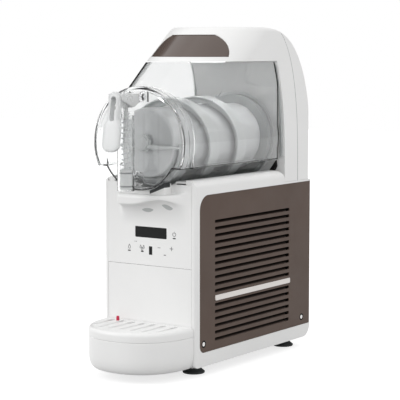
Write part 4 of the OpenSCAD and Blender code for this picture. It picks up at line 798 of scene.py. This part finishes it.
def coveDepth(x, z):    # depth of the fascia's hollow at a place
    s = browSettings
    below = None
    for row in range(s["plainRows"], s["plainRows"] + s["coveRows"] + 1):
        spot = fasciaPoint((x / s["halfWidth"] + 1) / 2, row / sectionRows)
        if spot.z >= z * mm and below is not None:
            share = (z * mm - below.z) / (spot.z - below.z)
            return (below.y + (spot.y - below.y) * share - frontY) / mm
        below = spot
    return (below.y - frontY) / mm


def leafPatch(leaf):
    def place(u, v):
        along = (2 * u - 1) * leaf["long"]
        high = leaf["high"] * (1 - (2 * u - 1) ** 2) ** leafShape["power"]
        x = leaf["x"] + along
        z = leaf["z"] + leaf["lean"] * along + high * (2 * v - 1) * (leafShape["upper"] if v > 0.5 else 1)
        return at(x, coveDepth(x, z) - leafShape["proud"], z)
    return thickened(bentGrid(leaf["name"], *leafShape["steps"], place), (0, leafShape["deep"] * mm, 0))


# each patch is a painted shadow, set just proud of the hollow
for leaf in leafShadows:
    finish(leafPatch(leaf), "cabinet", "lamp", look=windowGrey)


# Printed key marks

markSettings = {
    "y": -0.22, "back": 0.1, "line": 0.9, "deep": 0.3, "ahead": 0.002, "dropPower": 1.5,
    "sideLeast": 2.1,    # a bar's side, in corners
}


def markBar(name, x, z, wide, high, corner=0.4):
    low = (x - wide / 2, markSettings["y"], z - high / 2)
    top = (x + wide / 2, markSettings["back"], z + high / 2)
    return roundedBox(name, low, top, "Y", min(corner, min(wide, high) / markSettings["sideLeast"]))


def markLoop(name, spot, steps, closed=True):    # a line drawn along spot(u), laid on the panel
    def place(u, v):
        x, z = spot(u)
        aheadX, aheadZ = spot(min(1, u + markSettings["ahead"]))
        behindX, behindZ = spot(max(0, u - markSettings["ahead"]))
        along = Vector((aheadX - behindX, aheadZ - behindZ)).normalized()
        off = markSettings["line"] * (v - 0.5)
        return at(x - along.y * off, markSettings["y"], z + along.x * off)

    piece = bentGrid(name, steps, 1, place)
    editAll(piece)
    if closed:
        bpy.ops.mesh.remove_doubles(threshold=mergeGap * mm)
        bpy.ops.mesh.select_all(action="SELECT")
    extrudeBy((0, markSettings["deep"] * mm, 0))
    facesOut()
    endEdit()
    return piece


def dropOutline(x, z, half, tall):    # a drop with its point upward
    def spot(u):
        turn = math.tau * u
        across = math.sin(turn) * math.sin(turn / 2) ** markSettings["dropPower"]
        return x + half * across, z + tall * math.cos(turn)
    return spot


def arcOutline(x, z, radius, start, end):
    def spot(u):
        turn = math.radians(start + (end - start) * u)
        return x + radius * math.cos(turn), z + radius * math.sin(turn)
    return spot


keyMarks = joined("keyMarks", [
    markLoop("powerRing", arcOutline(55, 252.2, 3.4, 120, 420), 40, closed=False),
    markBar("powerStroke", 55, 255.2, 0.9, 4),
    markLoop("singleDrop", dropOutline(-43.5, 224.6, 3.2, 4), 40),
    markLoop("firstDrop", dropOutline(-18.4, 225.8, 2.2, 2.9), 32),
    markLoop("secondDrop", dropOutline(-11.8, 225.8, 2.2, 2.9), 32),
    markLoop("thirdDrop", dropOutline(-15.1, 221.8, 2.2, 2.9), 32),
    markBar("minusStroke", 22, 226.4, 6, 1),
    markBar("plusStroke", 49, 226.4, 7.6, 1),
    markBar("plusUpright", 49, 226.4, 1, 7.6),
    markBar("smallDash", -31, 234.4, 2.6, 0.8),
    markBar("smallDot", -27.6, 234.4, 1.4, 1.4, 0.6),
])
finish(keyMarks, "cabinet", "black_plastic", look=printedGrey)
keyLamps = joined("keyLamps", [
    markBar("powerLamp", 55, 245.1, 6, 2, 0.8),
    markBar("drinkLamp", -44, 217.1, 6, 2, 0.8),
    markBar("slushLamp", -15, 217.4, 6, 2, 0.8),
    markBar("coldLamp", 34.7, 214.2, 5, 1.1, 0.5),
])
finish(keyLamps, "cabinet", "dark_lens")


# Feet

footProfile = [
    (0, 0), (17.6, 0), (18.9, 0.3), (19.7, 0.9), (20, 1.8), (20, 3), (19.6, 3.8), (18.4, 4.6), (16, 6.4),
    (14.2, 8.4), (13.3, 10.2), (12.9, 12.4), (12.5, 15.5), (12.2, 17.4), (11.6, 18), (0, 18),
]
footPlaces = {
    "front_left_foot": (-65, 45), "front_right_foot": (65, 45),
    "rear_left_foot": (-65, 348), "rear_right_foot": (65, 348),
}
homeX, homeY = footPlaces["front_left_foot"]
firstFoot = lathe("frontLeftFoot", (homeX, homeY, 0), footProfile)
for node, (x, y) in footPlaces.items():
    first, *rest = node.split("_")
    name = first + "".join(word.capitalize() for word in rest)
    foot = firstFoot if node == "front_left_foot" else copyPiece(firstFoot, name, (x - homeX, y - homeY, 0))
    finish(foot, "cabinet", "rubber", node)


# Cold drum

drumProfile = [
    (10.06, -8), (56, -8), (58.4, -7.8), (60.3, -7), (61.6, -5.6), (62, -3.6), (62, 278.8), (83.4, 278.8),
    (84, 279.4), (84, 281.2), (83.4, 281.8), (62, 281.8), (62, 300.5), (60.4, 300.5), (60.4, -4), (12.06, -4),
    (12.06, 300.5), (10.06, 300.5), (10.06, -8),
]
drum = lathe("coldDrum", (0, 0, axisZ), drumProfile, axis=(0, 1, 0), steps=128)
finish(drum, "cabinet", "steel", "evaporator", look=drumSatin)


# Auger with its spider and cap

augerSettings = {"start": 3.3, "pitch": 88, "turns": 2.65, "steps": 190, "tip": 16}
ribbonHalf = [    # half of the blade's section as (along the axis, radius): wide outer band on a rib
    (0, 77.5), (11.6, 77.5), (13.1, 77.1), (13.8, 76.3), (14, 75.3), (13.7, 74.4), (12.8, 73.9), (9, 73.4),
    (6.6, 72.4), (5.2, 70.6), (4.5, 67.6), (4.1, 65.2), (3.4, 64), (2.2, 63.5), (0, 63.5),
]
ribbonSection = ribbonHalf + [(-along, radius) for along, radius in ribbonHalf[-2:0:-1]]


def ribbonPoint(u, v):
    s = augerSettings
    along, radius = ribbonSection[round(u * len(ribbonSection)) % len(ribbonSection)]
    turn = math.tau * s["turns"] * v
    fromEnd = math.degrees(min(turn, math.tau * s["turns"] - turn))
    narrow = max(0.2, roundEnd(fromEnd / s["tip"]))
    y = s["start"] + s["pitch"] * turn / math.tau + along * narrow
    return at(radius * math.cos(turn), y, axisZ - radius * math.sin(turn))


ribbon = sealed(bentGrid("augerSpiral", len(ribbonSection), augerSettings["steps"], ribbonPoint))
finish(ribbon, "auger", "white_inner", "auger_spiral", angle=50)

spiderSettings = {
    "y": -19, "thick": 8, "root": 12, "reach": 77.2, "high": (9, 4), "thinning": 0.35, "power": 0.6,
    "armZ": 405, "armSteps": (32, 24),
}
hubProfile = [
    (8.02, 0), (14.8, 0), (15.7, 0.4), (16, 1.2), (16, 6.8), (15.7, 7.6), (14.8, 8), (8.02, 8), (8.02, 0),
]
capProfile = [
    (0, 0), (12.8, 0), (13, -0.3), (13, -2.4), (12.6, -3.4), (11.4, -4.3), (9, -4.8), (6, -5), (0, -5),
]


def armPoint(side):
    def place(u, v):
        s = spiderSettings
        share = smoothStep(0, 1, v)
        deep = s["thick"] * (1 - s["thinning"] * share)
        turn = math.tau * u
        across = signedPower(math.sin(turn), s["power"]) * between(s["high"], share) / 2
        depth = signedPower(math.cos(turn), s["power"]) * deep / 2
        x = side * (s["root"] + (s["reach"] - s["root"]) * v)
        return at(x, s["y"] + s["thick"] / 2 + depth, s["armZ"] + across)
    return place


spiderCentre = (0, spiderSettings["y"], axisZ)
spider = joined("augerSpider", [
    lathe("spiderHub", spiderCentre, hubProfile, axis=(0, 1, 0)),
    sealed(bentGrid("spiderArmRight", *spiderSettings["armSteps"], armPoint(1))),
    sealed(bentGrid("spiderArmLeft", *spiderSettings["armSteps"], armPoint(-1))),
])
finish(spider, "auger", "white_inner", "auger_spider", angle=45)
augerCap = lathe("augerCap", spiderCentre, capProfile, axis=(0, 1, 0))
finish(augerCap, "auger", "white_inner", "auger_cap")


# Tap spring

springSettings = {
    "radius": 7.6, "wire": 0.8, "low": 368.3, "high": 455.7, "curls": 9, "y": -66, "sides": 12, "steps": 330,
    "closing": 1.06, "keep": 0.7485,
}


def springPoint(u, v):
    s = springSettings
    turn = (s["curls"] + 2) * v
    closed = 2 * s["wire"] * s["closing"]
    bottom = s["low"] + s["wire"]
    top = s["high"] - s["wire"]
    stretch = (top - bottom - 2 * closed) / s["curls"]
    height = bottom + closed * min(turn, 1) + stretch * min(max(turn - 1, 0), s["curls"])
    height += closed * max(0, turn - 1 - s["curls"])
    around = math.tau * u
    radius = s["radius"] + s["wire"] * math.cos(around)
    angle = math.tau * turn
    z = height + s["wire"] * math.sin(around)
    return at(radius * math.cos(angle), s["y"] + radius * math.sin(angle), z)


spring = sealed(bentGrid("tapSpring", springSettings["sides"], springSettings["steps"], springPoint))
finish(spring, "bowl_unit", "steel", "tap_spring", angle=60)
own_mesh(spring)


# Tap lever

leverSettings = {
    "long": 104, "topHalf": 12, "footHalf": 18.5, "topThick": 3.8, "footThick": 4.6, "lean": 8.5,
    "startY": -94, "startZ": 503, "step": (46, 62), "footRound": 13, "topEdge": 3, "footEdge": 5,
    "loopBack": 5.5, "power": 0.6, "steps": (64, 72),
    "slot": (8, 50), "slotHalf": 5.8, "slotY": (-120, -70), "slotRound": 5.4, "slotEdge": 1.1,
    "arms": (11, 16), "armEdge": 1.3, "bossRadius": 7.2, "bossEdge": 1.2,
    "yoke": ((-15, -95, 492.5), (15, -86, 499)), "yokeEdge": 2.2,
    "liftPin": ((-15, -64.8, 482), (15, -64.8, 482)), "liftRadius": 3,
}
armOutline = [
    (-38, 498.4), (-60, 499), (-80, 499), (-94, 499), (-94.5, 488), (-84, 484), (-70.5, 477.2), (-66, 476),
    (-60, 476.6), (-52, 481), (-38, 487.6),
]


def paddlePoint(u, v):
    s = leverSettings
    down = s["long"] * (1 - math.cos(math.pi * v)) / 2
    up = s["long"] - down
    grow = smoothStep(*s["step"], down)
    half = s["topHalf"] + (s["footHalf"] - s["topHalf"]) * grow
    half *= roundEnd(down / s["topHalf"]) * roundEnd(up / s["footRound"])
    thick = s["topThick"] + (s["footThick"] - s["topThick"]) * grow
    thick *= roundEnd(down / s["topEdge"]) * roundEnd(up / s["footEdge"])
    turn = math.tau * u
    deep = thick * signedPower(math.sin(turn), s["power"])
    lean = math.radians(s["lean"])
    if deep < 0:    # the loop at the top is deeper towards the tap
        deep *= 1 + s["loopBack"] / s["topThick"] * (1 - grow)
    y = s["startY"] - down * math.sin(lean) - deep * math.cos(lean)
    z = s["startZ"] - down * math.cos(lean) + deep * math.sin(lean)
    return at(half * signedPower(math.cos(turn), s["power"]), y, z)


def makeLever():
    s = leverSettings
    paddle = sealed(bentGrid("leverPaddle", *s["steps"], paddlePoint))
    slotLow = (-s["slotHalf"], s["slotY"][0], s["startZ"] - s["slot"][1])
    slotHigh = (s["slotHalf"], s["slotY"][1], s["startZ"] - s["slot"][0])
    cut(paddle, roundedBox("slotCutter", slotLow, slotHigh, "Y", s["slotRound"], steps=8))
    softEdges(paddle, s["slotEdge"], angle=58)
    parts = [paddle]
    for side, name in ((-1, "leverArmLeft"), (1, "leverArmRight")):
        low, high = sorted(side * x for x in s["arms"])
        arm = outlinePrism(name, armOutline, low, high, "X")
        softEdges(arm, s["armEdge"])
        boss = addRod(name + "Boss", s["bossRadius"], (low, pinY, pinZ), (high, pinY, pinZ))
        softEdges(boss, s["bossEdge"])
        parts += [arm, boss]
    yoke = addBox("leverYoke", *s["yoke"])
    softEdges(yoke, s["yokeEdge"], segments=4)
    liftPin = addRod("liftPin", s["liftRadius"], *s["liftPin"])
    finish(joined("tapLever", parts + [yoke, liftPin]), "lever", "clear_bowl", "tap_lever", look=milkyPlastic)


makeLever()


# Drip tray, its cover and the float

traySettings = {
    "halfWidth": 96, "reach": 113, "back": 0.4, "power": 2.3, "around": 120, "backShare": 0.16,
    "wall": 2.5, "sideTop": 50, "flare": 14, "flarePower": 2.4, "risePower": 1.8, "sideRows": 14,
    "tongueX": 30, "pocketHalf": 10.5, "pocketY": (-43.5, -1.4), "pocketZ": (19, 33.5), "pocketEdge": 0.8,
    "tongueHalf": 8.3, "tongueY": (-41, 2), "tongueZ": (21.7, 31.3),
}


def trayEdge(u, inset, rear):    # the tray's outline: square at the back and round in front
    s = traySettings
    halfWidth = s["halfWidth"] - inset
    reach = s["reach"] - inset
    backY = -s["back"] - rear
    if u > 1 - s["backShare"]:
        share = (u - 1 + s["backShare"]) / s["backShare"]
        return -halfWidth + 2 * halfWidth * share, backY
    turn = math.pi * u / (1 - s["backShare"])
    x = halfWidth * signedPower(math.cos(turn), 2 / s["power"])
    return x, min(backY, -reach * max(0, math.sin(turn)) ** (2 / s["power"]))


def loft(name, rings):    # rings of (inset, height, rear inset) joined into one closed skin
    def place(u, v):
        inset, height, rear = rings[round(v * (len(rings) - 1))]
        x, y = trayEdge(u, inset, rear)
        return at(x, y, height)
    return sealed(bentGrid(name, traySettings["around"], len(rings) - 1, place))


def traySide(low, wall):    # the tray's side, which curves in towards the floor
    s = traySettings
    rings = []
    for i in range(s["sideRows"] + 1):
        share = i / s["sideRows"]
        inset = wall + s["flare"] * (1 - share) ** s["flarePower"]
        rings.append((inset, low + (s["sideTop"] - low) * share ** s["risePower"], wall))
    return rings


def trayBox(name, side, half, reach, heights):    # a box at one of the cabinet's two tongues
    x = side * traySettings["tongueX"]
    return addBox(name, (x - half, reach[0], heights[0]), (x + half, reach[1], heights[1]))


def makeTray():
    s = traySettings
    outside = [(24, 16, 2), (17, 16, 0.6)] + traySide(16.4, 0) + [(0, 62, 0), (0, 73.2, 0), (0.3, 74, 0.3)]
    inside = [(0.9, 74.4, 0.9), (1.7, 74.4, 1.7), (2.3, 74, 2.3), (2.5, 73.2, 2.5), (2.5, 62, 2.5)]
    inside += traySide(20.4, s["wall"])[::-1] + [(24, 20, 3)]
    tray = loft("dripTray", outside + inside)
    for side in (-1, 1):    # blocks at the back that slide on the cabinet's tongues
        block = trayBox("trayPocket", side, s["pocketHalf"], s["pocketY"], s["pocketZ"])
        softEdges(block, s["pocketEdge"])
        cut(tray, block, "UNION")
        cut(tray, trayBox("tongueCutter", side, s["tongueHalf"], s["tongueY"], s["tongueZ"]))
    finish(tray, "tray", "white_shell", "drip_tray", angle=40)


makeTray()

coverRings = [
    (12, 87.4, 6), (5.5, 87.4, 5.5), (5.5, 74, 5.5), (5.5, 70, 5.5), (5.1, 69.6, 5.1), (3.3, 69.6, 3.3),
    (2.9, 70, 2.9), (2.9, 74.6, 2.9), (0.6, 74.6, 0.6), (0.1, 75, 0.1), (0, 75.8, 0), (0, 80, 0), (0, 84, 0),
    (0.25, 86, 0), (0.9, 87.9, 0.1), (2, 89.4, 0.3), (3.5, 90.5, 0.6), (5.3, 91.15, 1), (7.6, 91.4, 1.6),
    (14, 91.4, 4),
]
coverSettings = {
    "count": 7, "pitch": 23, "wide": 9, "long": 72, "back": 13, "short": 14, "corner": 4, "floor": 89.2,
    "drain": 14, "drainInset": 0.6, "drainLow": 80, "above": 95, "edge": 0.9,
}
floatSettings = {"x": -57.5, "y": -17, "low": 20.3, "holeRadius": 3.1, "holeZ": (72, 100)}
floatProfile = [
    (0, 0), (8.4, 0), (9, 0.6), (9, 16.6), (8.6, 17.6), (6.6, 19.4), (5.4, 20), (3.4, 20), (2.8, 20.8),
    (2.8, 77.6), (2.5, 78.6), (1.8, 79.1), (0, 79.1),
]


def makeCover():
    s = coverSettings
    cover = loft("dripCover", coverRings)
    half = s["wide"] / 2
    inset = s["drainInset"]
    for i in range(s["count"]):    # troughs that run back to a drain, shorter at both ends
        x = (i - (s["count"] - 1) / 2) * s["pitch"]
        short = s["short"] if i in (0, s["count"] - 1) else 0
        low = (x - half, short - s["back"] - s["long"], s["floor"])
        cut(cover, roundedBox("troughCutter", low, (x + half, -s["back"], s["above"]), "Z", s["corner"]))
        low = (x - half + inset, -s["back"] - s["drain"], s["drainLow"])
        high = (x + half - inset, -s["back"] - inset, s["above"])
        cut(cover, roundedBox("drainCutter", low, high, "Z", s["corner"] - inset))
    holeLow, holeHigh = ((floatSettings["x"], floatSettings["y"], z) for z in floatSettings["holeZ"])
    cut(cover, addRod("floatHole", floatSettings["holeRadius"], holeLow, holeHigh, segments=40))
    softEdges(cover, s["edge"], angle=58)
    finish(cover, "tray_lid", "white_shell", "drip_cover", angle=40)


makeCover()
floatFoot = (floatSettings["x"], floatSettings["y"], floatSettings["low"])
finish(lathe("trayFloat", floatFoot, floatProfile, steps=48), "float", "red_float", "tray_float")


# Clear bowl with its collar and hopper

bowlSettings = {
    "ledgeZ": 369, "rimZ": 551, "collarY": -30, "rearY": 278.5, "wall": 2.5, "edge": 0.7, "segments": 160,
    "collarRadius": 99, "bodyRadius": 97, "troughRadius": 82, "boreRadius": 79.5,
    "hopperHalf": 95, "hopperCentre": 151, "hopperRake": 1.17, "far": 420,
    "bendAbove": 6, "bendTop": 563, "bendRows": 12, "windowGap": 1.5,
    "beads": (-28.2, -14.5), "rimBead": 92.5, "troughBead": 79.5, "beadGap": 1,
    "ears": ((-22.5, -16.5), (16.5, 22.5)), "earRadius": 9, "earBack": -27.6,
    "ductRadius": 10, "ductZ": 350, "ductY": (-40, -20), "pinRadius": 3.05, "pinHalf": 30, "boreOver": 1,
    "hopperLow": 2, "hopperHigh": 6, "cutHalf": 120, "cutY": (-200, 500), "cutFoot": 200, "cutOver": 5,
    "tick": 0.02,    # keeps faces of the parts from lying in one plane
}
beadProfile = [
    (97.5, -1.4), (98.9, -1.4), (99.4, -0.9), (99.6, 0), (99.4, 0.9), (98.9, 1.4), (97.5, 1.4), (97.5, -1.4),
]
frontBeadSection = [(-0.9, 1), (-0.7, -0.4), (0, -0.8), (0.7, -0.4), (0.9, 1), (-0.9, 1)]


def axleRod(name, radius, front, rear):    # a cylinder round the bowl's axis
    return addRod(name, radius, (0, front, axisZ), (0, rear, axisZ), segments=bowlSettings["segments"])


def keepHeights(piece, low, high):
    half = bowlSettings["cutHalf"]
    front, rear = bowlSettings["cutY"]
    cut(piece, addBox("heightCutter", (-half, front, low), (half, rear, high)), "INTERSECT")


def roundBead(name, y, profile, low, high):    # a ring round the bowl's axis, kept between two heights
    bead = lathe(name, (0, y, axisZ), profile, axis=(0, 1, 0), steps=bowlSettings["segments"])
    keepHeights(bead, low, high)
    return bead


def frontBead(radius, low, high):    # a line round the front face
    profile = [(radius + out, along) for out, along in frontBeadSection]
    return roundBead("frontBead", bowlSettings["collarY"], profile, low, high)


def hopperForm(name, inset):    # upright round front that leans back as it rises
    s = bowlSettings
    low = s["ledgeZ"] - s["hopperLow"]
    high = s["rimZ"] + s["hopperHigh"]
    centreLow = s["hopperCentre"] - (s["rimZ"] - low) * s["hopperRake"]
    centreHigh = s["hopperCentre"] - (s["rimZ"] - high) * s["hopperRake"]
    start = (0, centreLow, low)
    piece = addRod(name, s["hopperHalf"] - inset, start, (0, centreLow, high), segments=s["segments"])
    pick(piece, "VERT", lambda point: point.co.y > at(0, centreLow + 0.5, 0).y)
    bpy.ops.transform.translate(value=(0, s["far"] * mm, 0))
    endEdit()
    pick(piece, "VERT", lambda point: point.co.z > (low + high) / 2 * mm)
    bpy.ops.transform.translate(value=(0, (centreHigh - centreLow) * mm, 0))
    endEdit()
    frontLow = (-s["cutHalf"], s["cutY"][0], low - s["cutOver"])
    cut(piece, addBox("frontCutter", frontLow, (s["cutHalf"], inset, high + s["cutOver"])))
    return piece


def bowlBack(name, inset):    # everything in front of the bowl's rear edge
    s = bowlSettings
    bend = axisZ + s["troughRadius"] + s["bendAbove"]
    outline = [(s["cutY"][0], s["cutFoot"]), (s["rearY"] - inset, s["cutFoot"])]
    for i in range(s["bendRows"] + 1):
        z = between((bend, s["bendTop"]), i / s["bendRows"])
        outline.append((min(s["rearY"], windowY(z) - s["windowGap"]) - inset, z))
    outline.append((s["cutY"][0], s["bendTop"]))
    return outlinePrism(name, outline, -s["cutHalf"], s["cutHalf"], "X")


def bowlUpper(name, inset):
    s = bowlSettings
    piece = axleRod(name, s["bodyRadius"] - inset, s["collarY"] + inset, s["rearY"])
    cut(piece, hopperForm("hopperForm", inset), "UNION")
    keepHeights(piece, s["ledgeZ"] + inset, s["rimZ"] + inset)
    cut(piece, bowlBack("backCutter", inset), "INTERSECT")
    return named(name)


def tapEar(low, high):    # one of two ears that hold the lever's pin
    s = bowlSettings
    tick = s["tick"]
    ear = addRod("tapEar", s["earRadius"], (low, pinY, pinZ), (high, pinY, pinZ))
    armLow = (low + tick, pinY, pinZ - s["earRadius"] + tick)
    armHigh = (high - tick, s["earBack"], pinZ + s["earRadius"] - tick)
    cut(ear, addBox("earArm", armLow, armHigh), "UNION")
    return ear


def makeBowl():
    s = bowlSettings
    front, rear, ledge, rim = s["collarY"], s["rearY"], s["ledgeZ"], s["rimZ"]
    gap, tick = s["beadGap"], s["tick"]
    bowl = bowlUpper("clearBowl", 0)
    collar = axleRod("bowlCollar", s["collarRadius"], front - tick, 0)
    keepHeights(collar, ledge - tick, rim)
    cut(bowl, collar, "UNION")
    for y in s["beads"]:    # round beads that stiffen the collar
        cut(bowl, roundBead("collarBead", y, beadProfile, ledge + gap, rim), "UNION")
    cut(bowl, axleRod("bowlTrough", s["troughRadius"], front - 2 * tick, rear + tick), "UNION")
    cut(bowl, frontBead(s["rimBead"], ledge + gap, rim), "UNION")
    cut(bowl, frontBead(s["troughBead"], s["cutFoot"], ledge - gap), "UNION")
    for low, high in s["ears"]:
        cut(bowl, tapEar(low, high), "UNION")
    cut(bowl, bowlUpper("bowlInside", s["wall"]))
    cut(bowl, axleRod("bowlBore", s["boreRadius"], front + s["wall"] + tick, rear + s["boreOver"]))
    ductFront, ductRear = ((0, y, s["ductZ"]) for y in s["ductY"])
    cut(bowl, addRod("ductCutter", s["ductRadius"], ductFront, ductRear))
    cut(bowl, addRod("pinCutter", s["pinRadius"], (-s["pinHalf"], pinY, pinZ), (s["pinHalf"], pinY, pinZ)))
    softEdges(bowl, s["edge"], angle=50)
    finish(bowl, "bowl_unit", "clear_bowl", "bowl", angle=30)


makeBowl()


# Floor, light and camera

stageSettings = {
    "floorSize": 14, "floorColour": (0.42, 0.42, 0.42, 1), "nearGlow": 0.73, "farGlow": 0.9, "near": 0.35,
    "far": 1.6, "ambient": 0.90, "aim": (0, 0, 0.3),
}


def seenDirectly(nodes):    # 1 for camera, mirror and clear rays, else 0
    lightPath = addNode(nodes, "LightPath")
    glossOrClear = addMath(nodes, "MAXIMUM")
    seen = addMath(nodes, "MAXIMUM")
    wire(lightPath, "Is Glossy Ray", glossOrClear, 0)
    wire(lightPath, "Is Transmission Ray", glossOrClear, 1)
    wire(lightPath, "Is Camera Ray", seen, 0)
    wire(glossOrClear, "Value", seen, 1)
    return seen


def makeFloor():
    s = stageSettings
    deselectAll()
    bpy.ops.mesh.primitive_plane_add(size=s["floorSize"])
    floor = named("studioFloor")
    material, nodes, shader = newMaterial("paleFloor")
    setInputs(shader, {
        "Base Color": s["floorColour"], "Roughness": 0.9, "Specular IOR Level": 0.1,
        "Emission Color": (1, 1, 1, 1),
    })
    place = addNode(nodes, "TexCoord")
    distance = addNode(nodes, "VectorMath")
    distance.operation = "LENGTH"
    glow = addNode(nodes, "MapRange", {    # the floor brightens away from the object
        "From Min": s["near"], "From Max": s["far"], "To Min": s["nearGlow"], "To Max": s["farGlow"],
    })
    glow.interpolation_type = "SMOOTHSTEP"
    shown = addMath(nodes, "MULTIPLY")
    wire(place, "Object", distance, 0)
    wire(distance, "Value", glow, "Value")
    wire(glow, "Result", shown, 0)
    wire(seenDirectly(nodes), "Value", shown, 1)
    wire(shown, "Value", shader, "Emission Strength")
    floor.data.materials.append(material)


def makeWorld():
    world = bpy.data.worlds.new("whiteStudio")
    bpy.context.scene.world = world
    world.use_nodes = True
    nodes = world.node_tree.nodes
    background = nodes["Background"]
    setInputs(background, {"Color": (1, 1, 1, 1)})
    strength = addNode(nodes, "MapRange", {"To Min": stageSettings["ambient"], "To Max": 1.0})
    wire(seenDirectly(nodes), "Value", strength, "Value")
    wire(strength, "Result", background, "Strength")


def aimed(thing, place, target):    # turns a lamp or the camera towards a point
    thing.rotation_mode = "QUATERNION"
    thing.rotation_quaternion = (Vector(target) - Vector(place)).to_track_quat("-Z", "Y")


softboxes = [
    {"name": "keySoftbox", "place": (-1.9, -2.3, 1.5), "size": 1.8, "watts": 34},
    {"name": "sideSoftbox", "place": (2.4, -0.8, 1.5), "size": 1.6, "watts": 13},
    {"name": "topSoftbox", "place": (0, 0.1, 2.6), "size": 2.0, "watts": 3},
]


def addSoftbox(box):
    deselectAll()
    bpy.ops.object.light_add(type="AREA", location=box["place"])
    lamp = bpy.context.active_object
    lamp.name = box["name"]
    lamp.data.shape = "RECTANGLE"
    lamp.data.size = box["size"]
    lamp.data.size_y = box["size"]
    lamp.data.energy = box["watts"]
    aimed(lamp, box["place"], stageSettings["aim"])


cardSettings = {
    "place": (-1.2, 0.785, 0.7), "size": (0.5, 1.9, 1), "turn": 55.5, "colour": (0.02, 0.02, 0.02, 1),
}


def addCard():    # a dark card beside the stage, which darkens the edges of clear plastic
    deselectAll()
    bpy.ops.mesh.primitive_plane_add(size=1, location=cardSettings["place"])
    card = named("edgeCard")
    card.scale = cardSettings["size"]
    card.rotation_euler = (math.radians(90), 0, math.radians(cardSettings["turn"]))
    settle(card)
    material, nodes, shader = newMaterial("cardBlack")
    setInputs(shader, {"Base Color": cardSettings["colour"], "Specular IOR Level": 0.0})
    lightPath = addNode(nodes, "LightPath")
    mirrored = addMath(nodes, "GREATER_THAN", {1: 0.5})    # it shows only where a ray was mirrored on its way
    clear = addNode(nodes, "BsdfTransparent")
    blend = addNode(nodes, "MixShader")
    wire(lightPath, "Glossy Depth", mirrored, 0)
    wire(mirrored, "Value", blend, "Fac")
    wire(clear, "BSDF", blend, 1)
    wire(shader, "BSDF", blend, 2)
    wire(blend, "Shader", nodes["Material Output"], "Surface")
    card.data.materials.append(material)
    card.visible_camera = False
    card.visible_diffuse = False
    card.visible_shadow = False


cameraSettings = {
    "eye": (1.58635, -2.27242, 0.57717), "target": (-0.00252, 0.02380, 0.29626), "lens": 136.11, "sensor": 36,
}


def makeCamera():
    deselectAll()
    bpy.ops.object.camera_add(location=cameraSettings["eye"])
    camera = bpy.context.active_object
    camera.name = "photoCamera"
    camera.data.lens = cameraSettings["lens"]
    camera.data.sensor_width = cameraSettings["sensor"]
    aimed(camera, cameraSettings["eye"], cameraSettings["target"])
    bpy.context.scene.camera = camera


makeFloor()
makeWorld()
addCard()
for box in softboxes:
    addSoftbox(box)
makeCamera()
bpy.context.scene.view_settings.view_transform = "Standard"
print("floor, light and camera in place")
